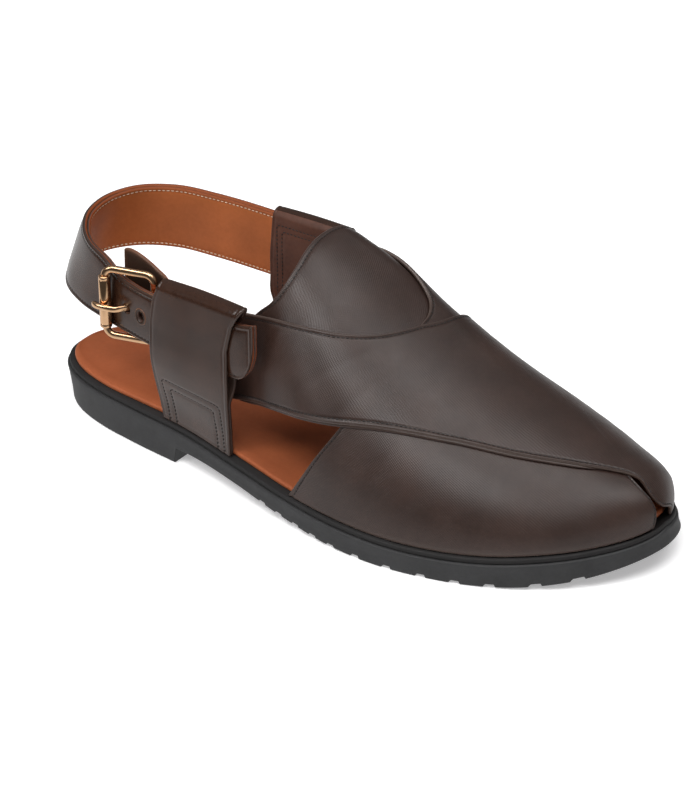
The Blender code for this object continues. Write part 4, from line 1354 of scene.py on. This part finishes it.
@dataclass
class Sole:
    """The moulded rubber sole, the thin midsole over it and the tan footbed."""

    breast: float = 0.275
    groove: float = 3.4 * MM
    depth: float = 1.2 * MM

    def outsole(self, rubber: bpy.types.Material) -> bpy.types.Object:
        """Makes the sole: rounded edges, a stepped heel, the arch and grooves across the tread."""
        half, draft = self.groove / 2 / SOLE_LENGTH, 0.5 * MM / SOLE_LENGTH
        breast_end = self.breast + 1.2 * MM / SOLE_LENGTH
        cuts = [self.breast - 0.4 * MM / SOLE_LENGTH, self.breast, breast_end, breast_end + 0.002]
        for middle in GROOVES:
            cuts += [middle - half - draft, middle - half, middle + half, middle + half + draft]
        w = stations(cuts, 230)
        share = share_at(w)
        arch = smooth(SOLE_BOTTOM["share"], SOLE_BOTTOM["height"], np.clip(share, self.breast, 1))
        front = np.clip((share - self.breast) / (breast_end - self.breast), 0, 1)
        bottom = np.maximum(arch, 0) * HEEL_HEIGHT * front
        for middle in GROOVES:
            deep = self.depth * (0.7 if middle < 0.62 else 1.0)
            bottom = bottom + deep * np.clip((half + draft - np.abs(share - middle)) / draft, 0, 1)
        taper = 2.0 * MM * (1 - ease(share / self.breast))
        splay = taper - 1.2 * MM * ease((share - 0.72) / 0.28)
        top = sole_top(w)
        turn = np.radians([0, 30, 60, 90])
        levels = []
        for t in turn:
            levels.append((splay + 0.9 * MM * (1 - np.sin(t)), bottom + 0.9 * MM * (1 - np.cos(t))))
        for part in (0.3, 0.6, 0.85):
            low, high = bottom + 0.9 * MM, top - 0.9 * MM
            hollow = 0.25 * MM * math.sin(math.pi * part)
            levels.append((splay * (1 - part) + hollow, low * (1 - part) + high * part))
        for t in turn:
            levels.append((0.8 * MM * (1 - np.cos(t)), top - 0.8 * MM * (1 - np.sin(t))))
        levels.append((0 * w + 2.6 * MM, top))
        return plate_mesh("outsole_rubber", w, levels, (0, 0, 0)).object([rubber], 42)

    def midsole(self, board: bpy.types.Material) -> bpy.types.Object:
        """Makes the dark board between sole and leather, with a rounded rim."""
        w = stations([], 200)
        top = sole_top(w)
        levels = []
        for rounding, up in ((0.25, 0.05), (0.05, 0.3), (0, 0.8), (0, 1.5), (0.15, 2.0), (0.5, 2.3)):
            levels.append((0 * w + MIDSOLE_INSET + rounding * MM, top + up * MM))
        return plate_mesh("midsole_board", w, levels, (0, 0, 0)).object([board], 50)

    def insole(self, tan: bpy.types.Material) -> bpy.types.Object:
        """Makes the footbed, its rim rounded."""
        w = stations([], 200)
        share = share_at(w)
        inset = np.interp(share, [0, 0.12, 0.24, 0.985, 1.0], [3.3, 3.6, 4.9, 5.0, 5.6]) * MM
        low = sole_top(w) + UPPER_BASE - 0.1 * MM
        levels = [(inset + 0.25 * MM, low)]
        for t in np.radians([0, 25, 50, 75, 90]):
            levels.append((inset + 1.1 * MM * (1 - np.cos(t)), low + 0.9 * MM + 1.1 * MM * np.sin(t)))
        mesh = plate_mesh("insole_leather", w, levels, (0, 0, 0))
        return mesh.object([tan], 60)


def edge_welt(band: Band, finish: bpy.types.Material) -> bpy.types.Object:
    """Makes the thin folded edge that shows below the top band's lower edge."""
    keep = (band.a > 0.03) & (band.a < 0.80)
    line = band.edges[1][keep]
    middle = band.last.at(line[:, 0], line[:, 1], band.lift(line[:, 0], line[:, 1]) - BAND_WALL * 0.72)
    high = band.last.at(line[:, 0], line[:, 1], band.lift(line[:, 0], line[:, 1]))
    count = 260
    middle, out = resample(middle, count), resample(unit(high - middle), count)
    along = unit(np.gradient(middle, axis=0))
    side = unit(np.cross(along, out))
    inward = pick(band.edges[0][keep], np.linspace(0, 1, count))
    inward = unit(band.last.at(inward[:, 0], inward[:, 1]) - middle)
    side *= np.sign((side * inward).sum(axis=1, keepdims=True)) * -1
    middle = middle + side * 0.25 * MM
    turn = turns(12)
    thin = np.minimum(1, np.minimum(np.arange(count), np.arange(count)[::-1]) / 12)[:, None]
    ring = (side[:, None] * np.cos(turn)[:, None] * 0.80 + out[:, None] * np.sin(turn)[:, None] * 0.48)
    rings = middle[:, None] + ring * (0.15 + 0.85 * thin[..., None]) * MM
    return tube("band_welt", rings, finish, caps=True, edge=0.4)


FINISHES = {
    "grained": Finish("Grained leather", (0.0340, 0.0190, 0.0148), 0.35, mottle=0.26, hatch=0.060 * MM,
                      hatch_pitch=0.78 * MM, pebble=0.008 * MM, pebble_size=0.75 * MM,
                      fine=0.006 * MM, edge_colour=(0.105, 0.078, 0.066), edge_power=3.0, specular=0.42),
    "polished": Finish("Polished leather", (0.0290, 0.0122, 0.0070), 0.20, mottle=0.32, specular=0.50,
                       pebble=0.007 * MM, pebble_size=1.1 * MM, fine=0.003 * MM,
                       edge_colour=(0.052, 0.034, 0.027), edge_power=3.0),
    "flap": Finish("Flap leather", (0.028, 0.016, 0.011), 0.34, mottle=0.30, specular=0.25, pebble=0.010 * MM,
                   pebble_size=0.9 * MM, fine=0.005 * MM, edge_colour=(0.16, 0.075, 0.045)),
    "quarter_inside": Finish("Quarter lining leather", (0.090, 0.037, 0.024), 0.44, mottle=0.30,
                             specular=0.25, pebble=0.014 * MM, pebble_size=0.6 * MM, fine=0.008 * MM,
                             edge_colour=(0.035, 0.018, 0.013)),
    "lining": Finish("Dark lining", (0.050, 0.026, 0.018), 0.62, mottle=0.3, fine=0.020 * MM),
    "tan": Finish("Tan lining leather", (0.37, 0.108, 0.033), 0.47, mottle=0.16, specular=0.16,
                  pebble=0.012 * MM, pebble_size=0.55 * MM, fine=0.008 * MM,
                  edge_colour=(0.215, 0.052, 0.018)),
    # The footbed's edge colour is mixed into its top face in a band a few millimetres inside its rim, so that
    # band is darker.
    "footbed": Finish("Tan footbed leather", (0.34, 0.095, 0.037), 0.46, mottle=0.14, specular=0.16,
                      pebble=0.010 * MM, pebble_size=0.6 * MM, fine=0.006 * MM,
                      edge_colour=(0.230, 0.056, 0.019)),
    "raw_edge": Finish("Dyed leather edge", (0.075, 0.036, 0.025), 0.6, mottle=0.4, fine=0.03 * MM),
    "rubber": Finish("Moulded rubber", (0.029, 0.029, 0.030), 0.62, mottle=0.20,
                     fine=0.014 * MM, specular=0.35),
    "board": Finish("Dark midsole", (0.007, 0.006, 0.006), 0.7, mottle=0.3, fine=0.02 * MM),
    "brass": Finish("Polished brass", (0.80, 0.50, 0.29), 0.18, mottle=0.06, metallic=1.0,
                    fine=0.002 * MM),
    "dark_thread": Finish("Dark thread", (0.012, 0.009, 0.008), 0.55, mottle=0.1, fine=0.01 * MM),
    "pale_thread": Finish("Pale thread", (0.66, 0.52, 0.38), 0.65, mottle=0.1, fine=0.01 * MM),
}


class Painter:
    """Builds a material from a finish, with nodes on the leather's own place."""

    def __init__(self, finish: Finish) -> None:
        self.finish = finish
        self.material = bpy.data.materials.new(finish.name)
        self.material.use_nodes = True
        self.tree = self.material.node_tree
        self.shader = self.tree.nodes["Principled BSDF"]
        self.place = self.add("ShaderNodeTexCoord").outputs["Object"]

    def add(self, kind: str, inputs: dict | None = None, **settings: object) -> bpy.types.Node:
        """Adds a node to the material."""
        return add_node(self.tree, kind, inputs, **settings)

    def sum(self, operation: str, *values: object) -> bpy.types.NodeSocket:
        """Adds a math node and gives its result."""
        return self.add("ShaderNodeMath", dict(enumerate(values)), operation=operation).outputs[0]

    def noise(self, size: float, detail: float = 3.0, place: object = None) -> bpy.types.NodeSocket:
        """Gives noise with lumps of the given size in metres."""
        inputs = {"Vector": place or self.place, "Scale": 1 / size, "Detail": detail}
        return self.add("ShaderNodeTexNoise", inputs).outputs["Fac"]

    def mix(self, share: object, a: object, b: object) -> bpy.types.NodeSocket:
        """Mixes two colours."""
        return self.add("ShaderNodeMix", {0: share, 6: a, 7: b}, data_type="RGBA").outputs[2]

    def tint(self) -> None:
        """Sets the colour: clouds of light and dark, then the cut edges."""
        finish = self.finish
        deep = tuple(c * (1 - finish.mottle) for c in finish.colour) + (1,)
        pale = tuple(c * (1 + finish.mottle) for c in finish.colour) + (1,)
        cloud = self.sum("MULTIPLY_ADD", self.noise(16 * MM), 1.8, -0.4)
        speck = self.sum("MULTIPLY_ADD", self.noise(1.6 * MM, 4), 0.8, -0.4)
        colour = self.mix(self.sum("ADD", cloud, speck), deep, pale)
        if finish.edge_colour:
            edge = self.add("ShaderNodeAttribute", attribute_name="edge").outputs["Fac"]
            colour = self.mix(self.sum("POWER", edge, finish.edge_power), colour, (*finish.edge_colour, 1))
        self.tree.links.new(colour, self.shader.inputs["Base Color"])
        self.shader.inputs["Base Color"].default_value = (*finish.colour, 1)
        rough = self.sum("MULTIPLY_ADD", self.noise(5 * MM), 0.16, finish.roughness - 0.08)
        self.tree.links.new(rough, self.shader.inputs["Roughness"])
        for key, value in (("Roughness", finish.roughness), ("Metallic", finish.metallic),
                           ("Specular IOR Level", finish.specular)):
            self.shader.inputs[key].default_value = value

    def hatching(self, flat: bpy.types.NodeSocket) -> bpy.types.NodeSocket:
        """Gives the embossed grain: a lattice of small raised diamonds that wavers a little."""
        finish = self.finish
        waver = self.add("ShaderNodeTexNoise", {"Vector": flat, "Scale": 1 / (7 * MM), "Detail": 1.0})
        shift = self.add("ShaderNodeVectorMath", {0: waver.outputs["Color"], 1: (0.5, 0.5, 0.5)},
                         operation="SUBTRACT")
        moved = self.add("ShaderNodeVectorMath", {0: shift.outputs[0], 1: (0.9 * MM,) * 3, 2: flat},
                         operation="MULTIPLY_ADD")
        axes = self.add("ShaderNodeSeparateXYZ", {0: moved.outputs[0]})
        turn = math.pi / (finish.hatch_pitch * math.sqrt(2))
        cells = None
        for way in (1.0, -1.0):
            along = self.sum("MULTIPLY_ADD", axes.outputs["Y"], way, axes.outputs["X"])
            wave = self.sum("SINE", self.sum("MULTIPLY", along, turn))
            ridge = self.sum("MULTIPLY", wave, wave)
            cells = ridge if cells is None else self.sum("MULTIPLY", cells, ridge)
        strength = self.sum("MULTIPLY_ADD", self.noise(9 * MM, 2, flat), 0.8, 0.5)
        return self.sum("MULTIPLY", self.sum("MULTIPLY", cells, finish.hatch), strength)

    def relief(self) -> None:
        """Sets the bump, its heights in metres."""
        finish = self.finish
        heights = []
        if finish.hatch or finish.pebble:
            flat = self.add("ShaderNodeUVMap", uv_map="Leather").outputs["UV"]
            if finish.hatch:
                heights.append(self.hatching(flat))
            cells = self.add("ShaderNodeTexVoronoi", {"Vector": flat, "Scale": 1 / finish.pebble_size},
                             voronoi_dimensions="2D", feature="SMOOTH_F1").outputs["Distance"]
            heights.append(self.sum("MULTIPLY", cells, -finish.pebble * 1.6))
        if finish.fine:
            heights.append(self.sum("MULTIPLY", self.noise(0.45 * MM, 4), finish.fine * 2))
        if not heights:
            return
        total = heights[0]
        for height in heights[1:]:
            total = self.sum("ADD", total, height)
        bump = self.add("ShaderNodeBump", {"Height": total, "Distance": 1.0, "Strength": 1.0})
        self.tree.links.new(bump.outputs["Normal"], self.shader.inputs["Normal"])

    def build(self) -> bpy.types.Material:
        """Finishes the material."""
        self.tint()
        self.relief()
        return self.material


def punch(piece: bpy.types.Object, place: tuple[float, float, float], across: float, tall: float,
          raw: bpy.types.Material) -> None:
    """Punches an oval hole through a strap's layer, with a raw wall.

    Args:
        piece: the layer.
        place: the hole's middle.
        across: half the hole's width.
        tall: half the hole's height.
        raw: material of the hole's wall.
    """
    turn = turns(32)
    ring = np.stack([across * np.cos(turn), 0 * turn, tall * np.sin(turn)], -1) + place
    rings = np.array([ring + [0, off * MM, 0] for off in (-7, 7)])
    cutter = tube("hole_cutter", rings, raw, 40, caps=True, edge=1.0)
    cut = piece.modifiers.new("Hole", "BOOLEAN")
    cut.operation, cut.solver, cut.object, cut.material_mode = "DIFFERENCE", "EXACT", cutter, "TRANSFER"
    graph = bpy.context.evaluated_depsgraph_get()
    done = bpy.data.meshes.new_from_object(piece.evaluated_get(graph))
    piece.modifiers.remove(cut)
    piece.data = done
    bpy.data.objects.remove(cutter)


def hole_rim(path: StrapPath, finish: bpy.types.Material) -> bpy.types.Object:
    """Makes the raised lip that the punch leaves round the spare hole."""
    turn, across = turns(64), turns(12)
    wide = 0.70 * MM * np.cos(across)
    x = SPARE_HOLE + np.cos(turn)[:, None] * (2.70 * MM + wide)
    z = path.spot(SPARE_HOLE)[1] + np.sin(turn)[:, None] * (3.15 * MM + wide)
    y = path.on_side(x, -1)[0] - 1.95 * MM - 0.5 * MM * np.sin(across)
    edge = np.clip(np.cos(across) * 1.3, 0, 1)
    return tube("spare_hole_rim", np.stack([x, y, z], -1), finish, edge=edge, uv=np.stack([x, z], -1))


class Shoe:
    """The whole shoe: makes each piece, hides the solids that it stands for and sews the seams."""

    def __init__(self) -> None:
        self.paints = {key: Painter(finish).build() for key, finish in FINISHES.items()}
        self.tree = stitch_tree()
        self.last = Last()
        self.path = StrapPath()
        self.seams: dict[str, list[Seam]] = {}

    def keep(self, piece: bpy.types.Object, slot: str, *nodes: str) -> bpy.types.Object:
        """Puts a piece on the shoe's one body and hides the solids that it stands for."""
        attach(piece, "root")
        if nodes:
            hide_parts(*nodes)
        LOG.info("%s: %d faces", piece.name, len(piece.data.polygons))
        return piece

    def sole(self) -> None:
        """Makes outsole, midsole and insole."""
        sole = Sole()
        self.keep(sole.outsole(self.paints["rubber"]), "black_rubber", "outsole")
        self.keep(sole.midsole(self.paints["board"]), "black_midsole", "midsole")
        self.keep(sole.insole(self.paints["footbed"]), "tan_leather", "insole")

    def bands(self) -> None:
        """Makes the two crossing bands, the top band's welt and the tongue."""
        outer, lining = self.paints["grained"], self.paints["lining"]
        lateral = Band("band_lateral_top", LATERAL_BAND_TOP, LATERAL_BAND_LOW, BAND_WALL, lateral_lift)
        medial = Band("band_medial_under", MEDIAL_BAND_TOP, MEDIAL_BAND_LOW, BAND_WALL, flat_lift)
        tongue = Band("tongue_leather", TONGUE_REAR, TONGUE_FRONT, TONGUE_WALL, tongue_lift,
                      seam_first=2.5 * MM)
        for band in (lateral, medial, tongue):
            band.place(self.last)
        self.keep(lateral.build([outer, lining]), "grained_leather", "upper")
        self.keep(medial.build([outer, lining]), "grained_leather")
        self.keep(tongue.build([outer, lining]), "grained_leather", "tongue")
        self.keep(edge_welt(lateral, self.paints["grained"]), "grained_leather")
        rows = [band.seam(second, band.seam_second if second else band.seam_first)
                for band in (lateral, medial) for second in (False, True)]
        self.seams["bands"] = rows + [tongue.seam(False, tongue.seam_first)]

    def straps(self) -> None:
        """Makes the heel strap's two layers, the two quarter loops and the guard flap."""
        polished, tan, raw = (self.paints[k] for k in ("polished", "tan", "raw_edge"))
        strap = HeelStrap(self.path)
        outer = strap.layer("heel_strap_outer", -0.25 * MM, 1.75 * MM, 0.35 * MM, 0.0,
                            [polished, tan, raw], (0, 1, 0))
        lining = strap.layer("heel_strap_lining", -1.75 * MM, -0.35 * MM, 0.25 * MM, 0.4 * MM,
                             [tan, raw], (1, 0, 1))
        for at, across, tall in ((PRONG_HOLE, 1.9 * MM, 1.9 * MM), (SPARE_HOLE, 2.0 * MM, 2.3 * MM)):
            for layer in (outer, lining):
                punch(layer, (at, *self.path.spot(at)), across, tall, raw)
        self.keep(outer, "polished_leather", "heel_strap")
        self.keep(lining, "tan_leather")
        for key, offset, thread in (("strap_dark", 1.72 * MM, Thread.DARK),
                                    ("strap_pale", -1.74 * MM, Thread.PALE)):
            self.seams[key] = [strap.seam(low, offset, thread) for low in (True, False)]
        self.keep(hole_rim(self.path, self.paints["flap"]), "polished_leather")
        self.quarters()
        flap = guard_flap(self.path, [self.paints["flap"], tan])
        self.keep(flap, "polished_leather", "guard_flap")

    def quarters(self) -> None:
        """Makes the two loops that hold the heel strap, with their sewn rectangles."""
        paints = [self.paints[k] for k in ("polished", "quarter_inside", "lining")]
        rows = []
        for side, name, node in ((-1, "quarter_loop_lateral", "quarter_strap_lateral"),
                                 (1, "quarter_loop_medial", "quarter_strap_medial")):
            loop = QuarterStrap(self.path, side)
            lines = [(inside, upright(*insets)) for inside, *insets in SEWN_LINES[side]]
            self.keep(loop.build(name, paints, lines), "polished_leather", node)
            rows += [loop.seam(line, inside) for inside, line in lines]
        self.seams["quarters"] = rows

    def buckle(self) -> None:
        """Makes the buckle's frame, roller, prong and the prong's eye."""
        buckle, brass = Buckle(self.path), self.paints["brass"]
        buckle.places()
        self.keep(buckle.frame(brass), "brass", "buckle_frame")
        self.keep(buckle.sleeve(brass), "brass", "buckle_roller")
        self.keep(buckle.prong(brass), "brass", "buckle_prong")
        self.keep(buckle.ring(brass), "brass")

    def sewing(self) -> None:
        """Lays the threads of all seams."""
        slots = {"bands": "grained_leather", "strap_dark": "polished_leather",
                 "strap_pale": "tan_leather", "quarters": "polished_leather"}
        for key, rows in self.seams.items():
            thread = self.paints[rows[0].thread.value]
            self.keep(sew("stitches_" + key, rows, self.tree, thread), slots[key])

    def build(self) -> None:
        """Makes every piece."""
        self.sole()
        self.bands()
        self.straps()
        self.buckle()
        self.sewing()


def upright(rear: float, front: float, top: float) -> Array:
    """Gives a sewn line up, across and down a quarter loop, as (x, share of height).

    Args:
        rear: inset from the rear edge, in millimetres.
        front: inset from the front edge.
        top: height of the line across, above the loop's foot.
    """
    start, corner = 0.6, 1.4
    a, b = QUARTER_REAR / MM + rear, (QUARTER_REAR + QUARTER_WIDTH) / MM - front
    points = []
    for x, way in ((a, 1), (b, -1)):
        bend = [(x, top - corner), (x + 0.3 * way * corner, top - 0.3 * corner), (x + way * corner, top)]
        points += [(x, start), *bend][::way]
    return np.array(points) * [MM, MM / LOOP_HEIGHT]


@dataclass(frozen=True)
class Studio:
    """The stage: floor, lights, world and camera."""

    azimuth: float = 32.35
    elevation: float = 28.14
    eye_back: float = 1300 * MM
    eye_right: float = 40.2 * MM
    eye_up: float = 26.4 * MM
    target: tuple[float, float, float] = (150 * MM, 0.0, 30 * MM)
    aim: tuple[float, float, float] = (0.0, 0.0, 0.038)
    lens: float = 162.0

    def camera(self) -> None:
        """Sets the camera where the photograph was taken from."""
        az, el = math.radians(self.azimuth), math.radians(self.elevation)
        back = Vector((math.sin(az) * math.cos(el), -math.cos(az) * math.cos(el), math.sin(el)))
        right = Vector((math.cos(az), math.sin(az), 0))
        up = back.cross(right)
        eye = Vector(self.target) - Vector(SHIFT.tolist())
        eye += back * self.eye_back + right * self.eye_right + up * self.eye_up
        data = bpy.data.cameras.new("Camera")
        data.sensor_fit, data.sensor_width, data.lens = "HORIZONTAL", 36.0, self.lens
        camera = placed("Camera", data)
        camera.location = eye
        camera.rotation_euler = (Vector(self.aim) - eye).to_track_quat("-Z", "Y").to_euler()
        bpy.context.scene.camera = camera

    def light(self, name: str, place: Sequence[float], size: tuple[float, float], power: float) -> None:
        """Adds a soft area light that faces the shoe."""
        data = bpy.data.lights.new(name, "AREA")
        data.shape, data.size, data.size_y, data.energy = "RECTANGLE", *size, power
        lamp = placed(name, data)
        lamp.location = place
        lamp.rotation_euler = (-Vector(place)).to_track_quat("-Z", "Y").to_euler()

    def floor(self) -> None:
        """Adds the white floor, which is stage."""
        half = 8.0
        mesh = bpy.data.meshes.new("floor")
        mesh.from_pydata([(-half, -half, 0), (half, -half, 0), (half, half, 0), (-half, half, 0)], [],
                         [(0, 1, 2, 3)])
        white = bpy.data.materials.new("Floor")
        white.use_nodes = True
        tree = white.node_tree
        shader = tree.nodes["Principled BSDF"]
        for key, value in (("Base Color", (0.93, 0.93, 0.93, 1)), ("Roughness", 0.9),
                           ("Specular IOR Level", 0.0), ("Emission Color", (1.0, 0.99, 1.0, 1)),
                           ("Emission Strength", 0.36)):
            shader.inputs[key].default_value = value
        place = add_node(tree, "ShaderNodeNewGeometry").outputs["Position"]
        seen = add_node(tree, "ShaderNodeEmission", {
            "Strength": self.ramp(tree, place, "Y", (-0.20, -0.10), (0.05, 0.85))})
        glossy = add_node(tree, "ShaderNodeLightPath").outputs["Is Glossy Ray"]
        choose = add_node(tree, "ShaderNodeMixShader", {0: glossy, 1: shader.outputs[0], 2: seen.outputs[0]})
        tree.links.new(choose.outputs[0], tree.nodes["Material Output"].inputs["Surface"])
        mesh.materials.append(white)
        placed("floor", mesh)

    def ramp(self, tree: bpy.types.NodeTree, place: bpy.types.NodeSocket, axis: str,
             reach: tuple[float, float], values: tuple[float, float]) -> bpy.types.NodeSocket:
        """Gives a value that changes evenly along one axis.

        Args:
            tree: the node tree.
            place: where it is read.
            axis: X, Y or Z.
            reach: where the change starts and ends.
            values: the value at its start and end.
        """
        along = add_node(tree, "ShaderNodeSeparateXYZ", {0: place}).outputs[axis]
        return add_node(tree, "ShaderNodeMapRange", {
            "Value": along, "From Min": reach[0], "From Max": reach[1],
            "To Min": values[0], "To Max": values[1]}).outputs["Result"]

    def world(self) -> None:
        """Sets a room that is bright above and dimmer at the sides."""
        world = bpy.data.worlds.new("Room")
        world.use_nodes = True
        tree = world.node_tree
        ground = tree.nodes["Background"]
        ground.inputs["Color"].default_value = (1.0, 0.985, 0.98, 1)
        place = add_node(tree, "ShaderNodeTexCoord").outputs["Generated"]
        bright = self.ramp(tree, place, "Z", (0.0, 1.0), (0.06, 0.32))
        tree.links.new(bright, ground.inputs["Strength"])
        bpy.context.scene.world = world

    def build(self) -> None:
        """Sets the stage and the render."""
        self.camera()
        self.floor()
        self.world()
        self.light("Key", (0.0, -0.72, 1.20), (1.3, 0.6), 14.0)
        self.light("Top", (0.45, 0.25, 1.30), (0.9, 0.9), 8.0)
        self.light("Side", (-0.75, -1.15, 0.62), (0.35, 0.8), 4.0)
        scene = bpy.context.scene
        scene.render.engine = "CYCLES"
        scene.cycles.samples = 160
        scene.cycles.use_denoising = True
        scene.render.resolution_x, scene.render.resolution_y = 700, 788
        scene.render.resolution_percentage = 100
        scene.view_settings.view_transform = "Standard"


def main() -> None:
    """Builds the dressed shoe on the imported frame."""
    logging.basicConfig(level=logging.INFO, format="%(message)s")
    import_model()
    Shoe().build()
    Studio().build()


if __name__ == "__main__":
    main()
